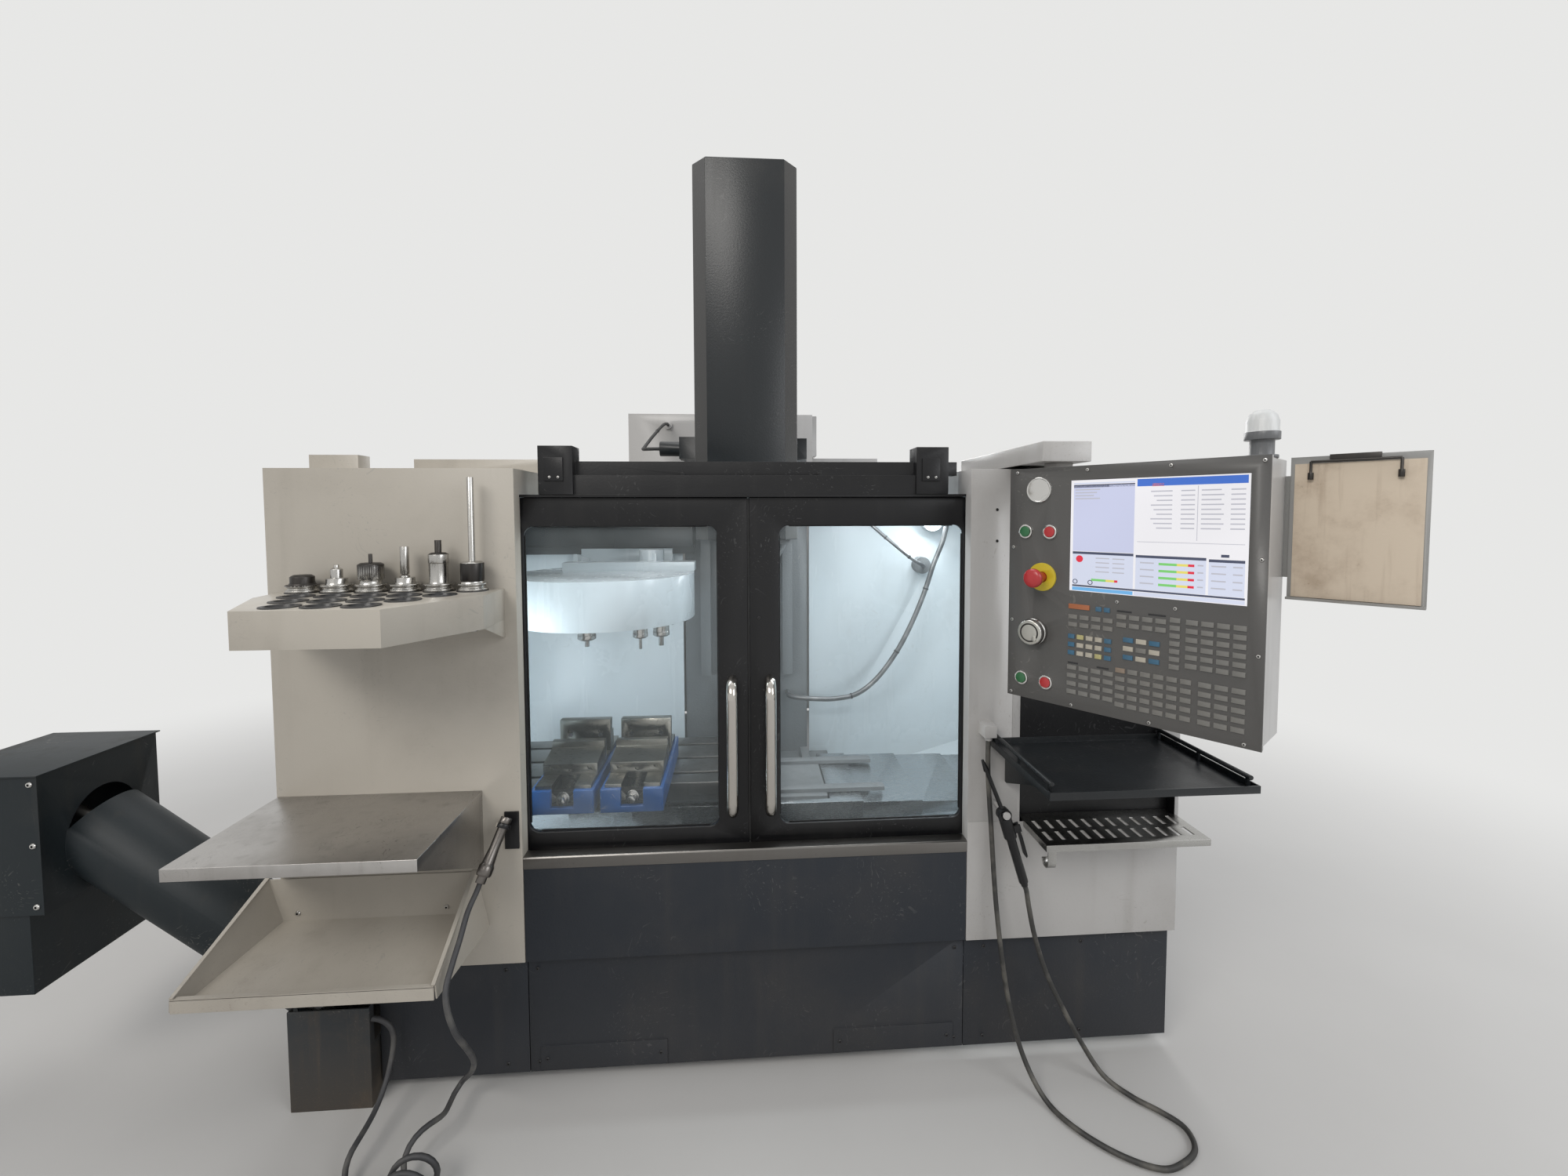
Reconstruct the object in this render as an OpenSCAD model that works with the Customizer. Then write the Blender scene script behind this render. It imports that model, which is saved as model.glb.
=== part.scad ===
// Vertical machining centre with an umbrella tool changer, two vises, a chip auger
// and a swivelling control pendant. X runs to the right, Y away from the operator
// and Z up. Lengths are in millimetres. The shape is drawn with the front panels at
// Y = 0 and the door centre at X = 0, then moved so that its footprint is centred.

/* [Enclosure] */
// Width across the two front housings
front_w = 2200; // [2100:10:2400]
// Height of the top of the front housings above the floor
top_z = 1524; // [1500:2:1560]
// Depth of the enclosure side panels behind the front
side_depth = 1500; // [1450:10:1540]
// Width of the door opening
opening_w = 1092; // [1080:2:1120]
// Height of the lower edge of the painted panels
panel_low_z = 332; // [300:2:340]
// Sheet thickness of the panels
sheet = 4; // [3:0.5:5]
// Height of the lower edge of the dark skirt
skirt_low_z = 35; // [20:1:60]
// Height of the top of the stainless sill
sill_z = 585; // [575:1:590]

/* [Doors] */
// Distance from the top of the housings down to the top of the doors
door_drop = 67; // [64:1:84]
// Width of one door, part of which runs behind its housing
door_w = 608; // [590:2:620]
// Thickness of a door frame
door_t = 26; // [20:1:28]
// Distance from the front panels back to the doors
door_y = 45; // [42:1:50]
// Length that a door slides open
door_travel = 470; // [300:10:470]
// Width of the centre stile of a door
stile_w = 74; // [60:1:90]
// Corner radius of the windows
window_r = 24; // [10:1:40]
// Outside diameter of the handle tube
handle_d = 28; // [20:1:32]
// Length of a handle over its bends
handle_len = 325; // [250:5:400]

/* [Bed and column] */
// Width of the cast bed
bed_w = 660; // [600:10:700]
// Width of the column
column_w = 496; // [480:2:520]
// Distance from the front panels back to the column face
column_y = 1040; // [1040:5:1080]
// Height of the column
column_z = 1640; // [1600:5:1700]
// Distance from the column face forward to the spindle axis
throat = 400; // [390:5:410]
// Height of the spindle nose at the top of its travel
nose_z = 1300; // [1290:5:1330]

/* [Head cover] */
// Width of the flat front of the head cover
cover_front_w = 250; // [200:5:270]
// Width of the head cover over its chamfers
cover_w = 336; // [320:2:340]
// Height of the top of the head cover
cover_top_z = 2535; // [2400:5:2600]

/* [Table] */
// Length of the table
table_l = 914; // [800:2:914]
// Width of the table
table_w = 380; // [350:2:384]
// Thickness of the table
table_t = 60; // [50:1:65]
// Height of the table top
table_z = 612; // [608:1:616]
// Width of a T-slot
slot_w = 16; // [12:1:18]
// Distance between T-slots
slot_pitch = 118; // [100:1:125]
// Table centre to the right of the door centre, as it stands
table_x = -376; // [-390:2:-366]

/* [Vises] */
// Width of the vise jaws
jaw_w = 152; // [140:2:156]
// Height of the vise bed
vise_bed_h = 73; // [70:1:76]
// Height of the fixed jaw plates above the bed
fixed_jaw_h = 98; // [60:1:104]
// Height of the moving jaws above the bed
jaw_h = 62; // [50:1:66]
// Opening between the jaws, as they stand
jaw_gap = 60; // [40:2:80]
// Distance between the vises
vise_pitch = 185; // [175:1:200]

/* [Tool changer] */
// Number of pockets in the tool carousel
pockets = 20; // [16:1:24]
// Radius of the circle of pocket centres
pocket_r = 255; // [240:1:260]
// Outside radius of the carousel cover
drum_r = 300; // [290:1:302]
// Height of the lower rim of the carousel cover
drum_z = 1069; // [1060:1:1080]
// Height of the carousel cover
drum_h = 149; // [140:1:152]

/* [Chip auger] */
// Outside radius of the auger tube
auger_r = 92; // [80:1:94]
// Slope of the auger tube in degrees
auger_slope = 38; // [36:0.5:39]
// Lead of the auger flight
auger_lead = 130; // [100:5:180]

/* [Pendant] */
// Width of the control panel
panel_w = 465; // [440:1:480]
// Height of the control panel
panel_h = 503; // [500:1:510]
// Depth of the pendant housing behind the panel
pendant_d = 122; // [100:1:124]
// Angle that the pendant is turned from the front, in degrees
pendant_yaw = 53; // [40:1:60]

/* [Tool shelf] */
// Distance between holes in the tool shelf
rack_pitch = 74; // [70:1:76]
// Diameter of a hole in the tool shelf
rack_hole_d = 52; // [46:1:56]
// Height of the top of the tool shelf
rack_z = 1243; // [1200:1:1260]

/* [Hoses] */
// Diameter of the air hose
air_hose_d = 12; // [10:1:14]
// Diameter of the wash hose
wash_hose_d = 12; // [10:1:14]
// Diameter over the turns of the curly hose
curl_d = 100; // [90:2:110]

/* [Hidden] */
half_w = front_w / 2;
half_open = opening_w / 2;
spindle_y = column_y - throat;
door_low_z = sill_z;
door_top_z = top_z - door_drop;
door_gap = 2.5;
return_d = 191;
post_y = 235;
liner_x = half_w - 150;
liner_back_y = column_y - 10;
liner_t = 4;
pan_z = 400;
trough_y = 112;
trough_front_y = 34;
trough_r = 84;
trough_mid_y = trough_front_y + trough_r;
auger_x0 = -half_w + 8;
auger_z0 = 259;
auger_len = 632;
auger_dir = [-cos(auger_slope), 0, sin(auger_slope)];
head_x1 = -half_w - 485;
head_w = 255;
head_y0 = -30;
head_y1 = 252;
head_z0 = 520;
head_z1 = 838;
chute_z = 330;
base_top_z = 430;
foot_h = 60;
bed_y0 = 260;
bed_y1 = column_y + 520;
rail_x = 165;
rail_h = 30;
y_rail_x = 230;
saddle_y = 536;
saddle_w = 520;
saddle_low_z = base_top_z + 30;
table_low_z = table_z - table_t;
cover_z = table_low_z - 17;
vise_plate_t = 17;
vise_rim = 9;
vise_bed_z = table_z + vise_plate_t;
vise_jaw_z = table_z + vise_bed_h;
vise_y0 = 186;
fixed_jaw_y = 430;
fixed_jaw_t = 26;
moving_jaw_l = 112;
moving_jaw_y = fixed_jaw_y - jaw_gap - moving_jaw_l;
vise_x = [-502, -502 + vise_pitch];
vise_screw_z = vise_bed_z + 22;
vise_screw_r = 12;
drum_x = -481;
drum_y = spindle_y;
disc_z = drum_z + 28;
disc_t = 26;
hub_r = 40;
carriage_z = drum_z + drum_h;
beam_y = column_y - 60;
beam_z0 = 1290;
beam_z1 = 1370;
pendant_pivot = [703, -118];
pendant_left = 55;
pendant_front = 110;
pendant_top = top_z - 12;
pendant_plate = 3;
pin_r = 14;
arm_x = [638, 748];
arm_z = pendant_top + 16;
arm_h = 44;
screen_w = 304;
screen_h = 228;
screen_u = 134;
screen_v = 29;
button_r = 11;
estop_uv = [77, 233];
knob_uv = [61, 353];
button_uv = [[39, 136], [93, 136], [34, 459], [89, 459]];
fit_gap = 0.4;
tank_x = [-half_w + 8, -905];
cabinet_x = [-560, 330];
cabinet_y = [bed_y1, bed_y1 + 180];
cabinet_z = [440, 1900];
hinge_z = [cabinet_z[0] + 200, cabinet_z[0] + 760, cabinet_z[1] - 140];
holder_end = panel_w - pendant_left + 179;
right_x = half_w + 5;
left_x = head_x1 - head_w - 6;
back_y = cabinet_y[1] + 22;
front_y = pendant_pivot[1] - holder_end * sin(pendant_yaw) - 8 * cos(pendant_yaw);
mid_x = (left_x + right_x) / 2;
mid_y = (front_y + back_y) / 2;
post_x = half_w - 250;
recess_z = 637;

gun_tilt = -17;
gun_len = 188;
air_end = [667, -62, 509];
air_peg = air_end + gun_len * [sin(gun_tilt), 0, cos(gun_tilt)] + [0, 0, 4.3];
wash_end = [-608, -92, 588];

air_route = [
    air_end, [672, -62, 493], [680, -60, 450], [700, -52, 370], [735, -44, 270], [778, -40, 180],
    [828, -48, 85], [872, -72, 20], [915, -120, 9], [958, -160, 9], [988, -200, 9],
    [978, -245, 9], [935, -272, 9], [875, -282, 9], [800, -245, 9], [735, -180, 9],
    [700, -115, 14], [672, -62, 70], [645, -40, 180], [624, -32, 320], [608, -28, 470],
    [596, -26, 640], [587, -24, 780], [587, -24, 857.7]
];
wash_route = [
    wash_end, [-612, -101, 574], [-621, -126, 545], [-621, -165, 512], [-620, -205, 485], [-618, -238, 458],
    [-610, -250, 420], [-598, -245, 370], [-590, -215, 310], [-602, -160, 235], [-632, -100, 160],
    [-665, -48, 100], [-690, -26, 65], [-700, -44, 54], [-700, -79.5, 52]
];
curl_route = [
    [-700, -80, 52], [-700, -140, 52], [-700, -200, 52], [-702, -260, 52], [-718, -318, 52], [-758, -352, 52],
    [-802, -352, 52], [-842, -318, 52], [-858, -260, 52], [-860, -200, 52], [-860, -140, 52]
];
tail_route = [
    [-860, -139.5, 52], [-860, -112, 52.5], [-859, -84, 58], [-858, -57, 72], [-857, -33, 94],
    [-856.6, -14, 124], [-856.5, -4.5, 150], [-856.5, -3, 167], [-860.2, -3, 185.4], [-870.6, -3, 200.9],
    [-886.1, -3, 211.3], [-904.3, -3, 215]
];

loop_route = [
    [812, 945, top_z - sheet - 0.4], [812, 945, 1480], [806, 945, 1400], [788, 945, 1310], [749, 945, 1210],
    [710, 945, 1090], [655, 945, 960], [595, 945, 850], [520, 945, 752], [440, 945, 692],
    [350, 945, 674], [265, 948, 675], [205, 962, 677], [172, 986, 679], [165, column_y - 30, 680],
    [165, column_y - 16, 680], [165, column_y - 0.4, 680]
];
branch_route = [
    [717, liner_back_y - 46.4, 1204], [717, liner_back_y - 51, 1204], [717, liner_back_y - 56, 1204],
    [713.2, 954.9, 1206], [702.4, 938.6, 1211], [686.1, 927.8, 1218], [667, 924, 1228], [630, 926, 1256],
    [590, 934, 1290], [550, 948, 1325], [515, 964, 1358], [492, 984, 1380], [481, 1003, 1389],
    [480, liner_back_y - 14, 1390], [480, liner_back_y - 7, 1390], [480, liner_back_y - 0.4, 1390]
];
motor_route = [
    [-370, cabinet_y[0] - 16.4, cabinet_z[1] - 55], [-370, cabinet_y[0] - 30, cabinet_z[1] - 55],
    [-370, cabinet_y[0] - 50, cabinet_z[1] - 55], [-378, 1430, 1828], [-404, 1320, 1770], [-424, 1230, 1718],
    [-428, 1190, 1700], [-428, 1156, 1690], [-423.7, 1134.6, 1686], [-411.6, 1116.4, 1684.6],
    [-393.4, 1104.3, column_z + 44], [-372, column_y + 60, column_z + 44], [-361, column_y + 60, column_z + 44],
    [-350.4, column_y + 60, column_z + 44]
];

// Shared shapes

module placed() translate([-mid_x, -mid_y, 0]) children();

module block(x, y, z)
    translate([x[0], y[0], z[0]]) cube([x[1] - x[0], y[1] - y[0], z[1] - z[0]]);

module rounded(w, h, r, fn = 32)
    hull() for (x = [r, w - r], y = [r, h - r]) translate([x, y]) circle(r = r, $fn = fn);

// An outline in X and Z, extruded to the back
module upright(y, t) translate([0, y + t, 0]) rotate([90, 0, 0]) linear_extrude(t) children();

// An outline in Y and Z, extruded to the right
module sideways(x, t) translate([x, 0, 0]) rotate([90, 0, 90]) linear_extrude(t) children();

module along_y(x, z, y0, y1, r, fn = 32)
    translate([x, y0, z]) rotate([-90, 0, 0]) cylinder(r = r, h = y1 - y0, $fn = fn);

module along_x(y, z, x0, x1, r, fn = 32)
    translate([x0, y, z]) rotate([0, 90, 0]) cylinder(r = r, h = x1 - x0, $fn = fn);

function unit(v) = v / norm(v);

// A point on the smooth curve through four route points
function curve_point(a, b, c, d, t) =
    0.5 * (2 * b + (c - a) * t + (2 * a - 5 * b + 4 * c - d) * t * t
        + (3 * b - a - 3 * c + d) * t * t * t);

function smooth(p, n) = concat(
    [for (i = [0:len(p) - 2], k = [0:n - 1])
        curve_point(p[max(i - 1, 0)], p[i], p[i + 1], p[min(i + 2, len(p) - 1)], k / n)],
    [p[len(p) - 1]]);

function headings(p) =
    [for (i = [0:len(p) - 1]) unit(p[min(i + 1, len(p) - 1)] - p[max(i - 1, 0)])];

function sides_of(t, i, last) = i >= len(t) ? [] :
    let (n = unit(last - (last * t[i]) * t[i])) concat([n], sides_of(t, i + 1, n));

// A round tube swept along a route
module hose(route, d, n, sides) {
    p = smooth(route, n);
    t = headings(p);
    s = sides_of(t, 0, [0, 1, 0.1]);
    points = [for (i = [0:len(p) - 1], k = [0:sides - 1])
        let (a = 360 * k / sides, up = cross(t[i], s[i]))
        p[i] + d / 2 * (cos(a) * s[i] + sin(a) * up)];
    walls = [for (i = [0:len(p) - 2], k = [0:sides - 1])
        let (a = i * sides + k, b = i * sides + (k + 1) % sides)
        [a, a + sides, b + sides, b]];
    ends = [[for (k = [0:sides - 1]) k],
        [for (k = [0:sides - 1]) len(points) - 1 - k]];
    polyhedron(points, concat(walls, ends), convexity = 10);
}

// Bed and frame

module base_casting() color("dimgray") placed() difference() {
    union() {
        sideways(-bed_w / 2, bed_w) polygon([
            [bed_y0, foot_h], [bed_y1, foot_h], [bed_y1, base_top_z],
            [column_y - 120, base_top_z], [column_y - 160, base_top_z - 40],
            [bed_y0 + 60, base_top_z - 40], [bed_y0, base_top_z - 110]
        ]);
        for (x = [-y_rail_x, y_rail_x])
            block([x - 45, x + 45], [bed_y0 + 20, column_y - 30], [base_top_z - 90, base_top_z]);
        for (x = [-y_rail_x, y_rail_x])
            block([x - 17, x + 17], [bed_y0 + 25, column_y - 35], [base_top_z - 1, base_top_z + 30]);
    }
    for (y = [bed_y0 + 110, bed_y0 + 480, bed_y0 + 850])
        block([-bed_w / 2 - 1, -bed_w / 2 + 110], [y, y + 260], [foot_h + 60, base_top_z - 130]);
    for (y = [bed_y0 + 110, bed_y0 + 480, bed_y0 + 850])
        block([bed_w / 2 - 110, bed_w / 2 + 1], [y, y + 260], [foot_h + 60, base_top_z - 130]);
}

module foot(x, y, h) translate([x, y, 0]) {
    cylinder(r = 42, h = 16, $fn = 24);
    translate([0, 0, 16]) cylinder(r = 12, h = h - 16, $fn = 24);
    translate([0, 0, 30]) cylinder(r = 22, h = 12, $fn = 6);
}

module levelling_feet() color("gray") placed() {
    for (x = [-bed_w / 2 + 55, bed_w / 2 - 55], y = [bed_y0 + 55, (bed_y0 + bed_y1) / 2, bed_y1 - 55])
        foot(x, y, foot_h);
    for (x = [-post_x, post_x])
        foot(x, post_y, panel_low_z);
    for (x = [-half_w + 40, half_w - 40])
        foot(x, side_depth - 40, panel_low_z);
}

// A sheet panel with folded edges, open at the back
module folded_panel(x, z, y, d) difference() {
    block(x, [y, y + d], z);
    block([x[0] + 3, x[1] - 3], [y + 3, y + d + 1], [z[0] + 3, z[1] - 3]);
}

module front_skirts() color([0.24, 0.26, 0.29]) placed() {
    // Upper apron between the sill and the lower seam
    folded_panel([-half_open + 1, half_open - 1], [panel_low_z, sill_z - 22], 2, 28);
    // Three lower skirts
    folded_panel([-900, -half_open - 2], [skirt_low_z, panel_low_z], 22, 8);
    folded_panel([-half_open, half_open], [skirt_low_z, panel_low_z], 22, 8);
    folded_panel([half_open + 2, half_w - 4], [skirt_low_z, panel_low_z], 22, 8);
    // Small covers at the floor
    for (x = [[-520, -210], [210, 520]])
        block(x, [19, 22], [skirt_low_z + 4, skirt_low_z + 66]);
    // Right-hand side skirt
    block([half_w - 7, half_w - 4], [28, side_depth - 90], [skirt_low_z, panel_low_z]);
}

module sill() color("silver") placed() difference() {
    sideways(-half_open, opening_w) polygon([
        [0, sill_z - 22], [0, sill_z + 4], [3, sill_z + 7], [34, sill_z + 7], [38, sill_z],
        [96, sill_z - 2], [96, sill_z - 10], [36, sill_z - 10], [36, sill_z - 22]
    ]);
    block([-half_open - 1, half_open + 1], [4, 32], [sill_z - 30, sill_z]);
}

// Front panel, return, side and roof of a housing, drawn for the right-hand side
module housing_shell() {
    block([half_open, half_w], [0, sheet], [panel_low_z, top_z]);
    block([half_open, half_open + sheet], [0, 38], [panel_low_z, top_z]);
    block([half_open, half_open + sheet], [38, return_d], [door_top_z + 7, top_z]);
    block([half_w - sheet, half_w], [0, side_depth], [panel_low_z, top_z]);
    block([half_open, half_w], [0, side_depth], [top_z - sheet, top_z]);
    block([half_open, half_w], [0, 28], [panel_low_z, panel_low_z + sheet]);
    block([half_w - 90, half_w], [0, side_depth], [panel_low_z, panel_low_z + sheet]);
    block([post_x - 30, half_w], [post_y - 25, post_y + 25], [panel_low_z, panel_low_z + sheet]);
    block([half_w - 400, half_w], [side_depth - sheet, side_depth], [panel_low_z, top_z]);
    // Raised lip along the open top
    block([half_open, half_open + sheet], [return_d + 44, side_depth], [top_z - 1, top_z + 26]);
}

module auger_hole() translate([auger_x0, trough_y, auger_z0])
    rotate([0, auger_slope - 90, 0]) translate([0, 0, -80]) cylinder(r = auger_r + 3, h = 200, $fn = 48);

module left_housing() color([0.80, 0.78, 0.72]) placed() {
    difference() {
        mirror([1, 0, 0]) housing_shell();
        auger_hole();
        // Notch for the chip trough
        block([auger_x0 - 1, -half_open + 1], [trough_front_y - 4, trough_mid_y + trough_r + 4],
            [panel_low_z - 1, pan_z + 4]);
    }
    // Raised strip and low box on the roof
    block([-890, -half_open], [240, 300], [top_z - 1, top_z + 41]);
    block([-half_w + 2, -980], [150, 200], [top_z - 1, top_z + 44]);
    // Plate and ring that hold the wash gun
    block([-585, -552], [-4, 0], [618, 708]);
    at_wash_gun() translate([0, 0, 116]) difference() {
        union() {
            cylinder(r = 17, h = 9.7, $fn = 32);
            translate([-5, 8, 0]) cube([10, 32, 9.7]);
        }
        translate([0, 0, -1]) cylinder(r = 11.6, h = 12, $fn = 32);
    }
}

module right_housing() color([0.83, 0.83, 0.82]) placed() {
    difference() {
        union() {
            housing_shell();
            block([676, half_w - 6], [0, 38], [recess_z - 4, 838]);
        }
        // Shallow recess under the work tray and two panel seams
        block([680, half_w - 10], [-1, 34], [recess_z, 834]);
        block([half_open - 1, 676], [-1, 1], [639, 641]);
        block([657, 659], [-1, 1], [838, top_z + 1]);
    }
    // Hose connection and the peg that the air gun hangs on
    block([572, 602], [-40, 0], [868, 898]);
    translate([587, -24, 858]) cylinder(r = 9, h = 11, $fn = 24);
    along_y(air_peg[0], air_peg[2], -78, 1, 5, 24);
    along_y(air_peg[0], air_peg[2], -82, -77, 9, 24);
}

module trough() translate([auger_x0, trough_mid_y, auger_z0]) rotate([90, 0, 90])
    linear_extrude(half_open - auger_x0 - 6) {
        difference() {
            circle(r = trough_r + 3, $fn = 48);
            circle(r = trough_r, $fn = 48);
            translate([-200, 0]) square([400, 200]);
        }
        translate([-trough_r - 3, 0]) square([3, pan_z - auger_z0 + 3]);
        translate([trough_r, 0]) square([3, pan_z - auger_z0 + 3]);
    }

module liner() color([0.90, 0.93, 0.94]) placed() {
    trough();
    difference() {
        union() {
            block([-liner_x, liner_x], [trough_mid_y + trough_r, liner_back_y], [pan_z, pan_z + 3]);
            // Sloping chip pans at both sides
            upright(trough_mid_y + trough_r, liner_back_y - trough_mid_y - trough_r) {
                polygon([[-liner_x, 478], [-liner_x, 472], [-700, pan_z], [-690, pan_z + 3]]);
                polygon([[liner_x, 478], [liner_x, 472], [700, pan_z], [690, pan_z + 3]]);
            }
        }
        block([-bed_w / 2 - 4, bed_w / 2 + 4], [bed_y0 - 4, liner_back_y + 1], [300, 500]);
    }
    for (x = [-liner_x, liner_x - liner_t])
        block([x, x + liner_t], [100, liner_back_y], [pan_z, top_z - sheet]);
    difference() {
        for (x = [[-liner_x, -column_w / 2 - 8], [column_w / 2 + 8, liner_x]])
            block(x, [liner_back_y, liner_back_y + liner_t], [pan_z, top_z - sheet]);
        block([-bed_w / 2 - 0.4, bed_w / 2 + 0.4], [liner_back_y - 1, liner_back_y + liner_t + 1],
            [pan_z - 1, base_top_z + 0.4]);
    }
    // Roof flanges that carry the side walls
    block([-half_w + 6, -liner_x + liner_t], [100, 160], [top_z - sheet - 6, top_z - sheet]);
    block([liner_x - liner_t, half_w - 6], [100, 160], [top_z - sheet - 6, top_z - sheet]);
    // Front returns beside the doors
    block([-liner_x, -740], [96, 100], [pan_z, top_z - sheet]);
    block([740, liner_x], [96, 100], [pan_z, top_z - sheet]);
    // Round lamp and conduit boss on the back wall
    along_y(760, 1385, liner_back_y - 40, liner_back_y, 42, 32);
    along_y(717, 1204, liner_back_y - 46, liner_back_y, 34, 32);
}

module door_rail() color([0.16, 0.16, 0.17]) placed() {
    block([-half_open, half_open], [34, 96], [door_top_z + 0.4, door_top_z + 7]);
    block([-418, 417], [38, 90], [door_top_z + 7, door_top_z + 54]);
    block([-418, 528], [54, 88], [door_top_z + 54, door_top_z + 88]);
    for (x = [-499, 417]) {
        block([x, x + 81], [28, 92], [door_top_z + 7, door_top_z + 123]);
        block([x + 14, x + 59], [24, 28], [door_top_z + 39, door_top_z + 95]);
    }
    // Bolt heads along the upper bar
    for (x = [-160, 178]) along_y(x, door_top_z + 56, 46, 54, 6, 24);
}

// Doors

function door_x(side) = side < 0 ? [-door_gap - door_w, -door_gap] : [door_gap, door_gap + door_w];
window_w = door_w - stile_w - 68;
window_z = [door_low_z + 45, door_top_z - 70];
function window_x(side) = side < 0
    ? [-door_gap - stile_w - window_w, -door_gap - stile_w]
    : [door_gap + stile_w, door_gap + stile_w + window_w];

module door(side) difference() {
    block(door_x(side), [door_y, door_y + door_t], [door_low_z + 0.4, door_top_z]);
    upright(door_y - 1, door_t + 2)
        translate([window_x(side)[0], window_z[0]]) rounded(window_w, window_z[1] - window_z[0], window_r);
    // Rabbet for the pane, from behind
    block([window_x(side)[0] - 16, window_x(side)[1] + 16], [door_y + 12, door_y + door_t + 1],
        [window_z[0] - 16, window_z[1] + 16]);
}

module pane(side)
    block([window_x(side)[0] - 15, window_x(side)[1] + 15], [door_y + 12, door_y + 20],
        [window_z[0] - 16, window_z[1] + 15]);

module handle(x) {
    r = handle_d / 2;
    bend = 34;
    stand = 48;
    z0 = 676;
    z1 = z0 + handle_len;
    translate([x, door_y - stand, z0 + bend]) cylinder(r = r, h = handle_len - 2 * bend, $fn = 32);
    for (end = [[z0 + bend, -1], [z1 - bend, 1]])
        translate([x, door_y - stand + bend, end[0]]) rotate([0, 90, 0]) rotate([0, 0, end[1] > 0 ? 180 : 270])
            rotate_extrude(angle = 90, $fn = 32) translate([bend, 0]) circle(r = r, $fn = 32);
    for (z = [z0, z1])
        along_y(x, z, door_y - stand + bend, door_y, r);
}

module left_door() color([0.13, 0.13, 0.14]) placed() door(-1);
module right_door() color([0.13, 0.13, 0.14]) placed() door(1);
module left_window() color([0.75, 0.85, 0.88, 0.35]) placed() pane(-1);
module right_window() color([0.75, 0.85, 0.88, 0.35]) placed() pane(1);
module left_handle() color("silver") placed() handle(-42);
module right_handle() color("silver") placed() handle(52);

// Column, head and spindle

module column() color([0.55, 0.56, 0.57]) placed() {
    difference() {
        sideways(-column_w / 2, column_w) polygon([
            [column_y, base_top_z], [bed_y1, base_top_z], [bed_y1, 900], [bed_y1 - 90, column_z],
            [column_y, column_z]
        ]);
        block([-column_w / 2 + 60, column_w / 2 - 60], [column_y + 70, bed_y1 - 60], [base_top_z + 60, 860]);
    }
    // Linear guides for the head
    for (x = [-rail_x, rail_x])
        block([x - 20, x + 20], [column_y - rail_h, column_y], [760, column_z - 10]);
    // Stops on the column top and the changer drive motor
    block([-268, -180], [column_y + 10, column_y + 110], [column_z, column_z + 88]);
    block([180, 250], [column_y + 10, column_y + 110], [column_z, column_z + 84]);
    along_x(column_y + 60, column_z + 44, -350, -268, 30);
    // Beam that carries the tool changer
    block([-900, -252], [beam_y + 4, beam_y + 46], [beam_z0, beam_z1]);
    block([-253, -206], [beam_y + 20, column_y + 1], [beam_z0, beam_z1]);
    block([-507, -208], [beam_y - 50, beam_y + 5], [beam_z0, beam_z1 - 4]);
    block([-900, -206], [beam_y - 5, beam_y + 15], [beam_z0 - 30, beam_z0 + 1]);
}

module z_head() color([0.36, 0.37, 0.38]) placed() {
    difference() {
        union() {
            translate([0, spindle_y, nose_z]) cylinder(r = 78, h = 320, $fn = 48);
            block([-95, 95], [spindle_y, column_y - 62], [nose_z + 60, nose_z + 330]);
            block([-150, 150], [column_y - 92, column_y - 62], [nose_z + 20, nose_z + 330]);
        }
        translate([0, spindle_y, nose_z - 1]) cylinder(r = 45.05, h = 262, $fn = 48);
    }
    // Carriages on the linear guides
    for (x = [-rail_x, rail_x], z = [nose_z + 40, nose_z + 250]) difference() {
        block([x - 34, x + 34], [column_y - 62, column_y - 10], [z, z + 70]);
        block([x - 20.5, x + 20.5], [column_y - rail_h - 0.5, column_y], [z - 1, z + 71]);
    }
    for (x = [-1, 1])
        block([x * 165 - 34, x * 165 + 34], [column_y - 66, column_y - 61], [nose_z + 20, nose_z + 330]);
    // Spindle motor above the housing
    translate([0, spindle_y, nose_z + 320]) cylinder(r = 105, h = 30, $fn = 48);
    translate([0, spindle_y, nose_z + 350]) cylinder(r = 96, h = 240, $fn = 48);
    // Coolant block with nozzles beside the nose
    block([96, 142], [spindle_y - 60, spindle_y + 20], [nose_z + 14, nose_z + 58]);
    block([70, 97], [spindle_y - 20, spindle_y + 20], [nose_z + 20, nose_z + 50]);
    for (y = [spindle_y - 48, spindle_y - 26, spindle_y - 4])
        translate([126, y, nose_z + 14]) rotate([0, 205, 0]) cylinder(r1 = 8, r2 = 4, h = 46, $fn = 16);
}

module spindle() color("silver") placed() translate([0, spindle_y, nose_z]) difference() {
    union() {
        cylinder(r = 45, h = 255, $fn = 48);
        translate([0, 0, -12]) cylinder(r = 44, h = 12, $fn = 48);
        for (a = [0, 180]) rotate([0, 0, a]) translate([27, -8, -18]) cube([14, 16, 7]);
    }
    // Tapered socket
    translate([0, 0, -12]) rotate_extrude($fn = 48)
        polygon([[0, -1], [22.4, -1], [22.2, 0], [12.6, 66], [12.6, 90], [8, 90], [8, 268], [0, 268]]);
}

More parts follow.
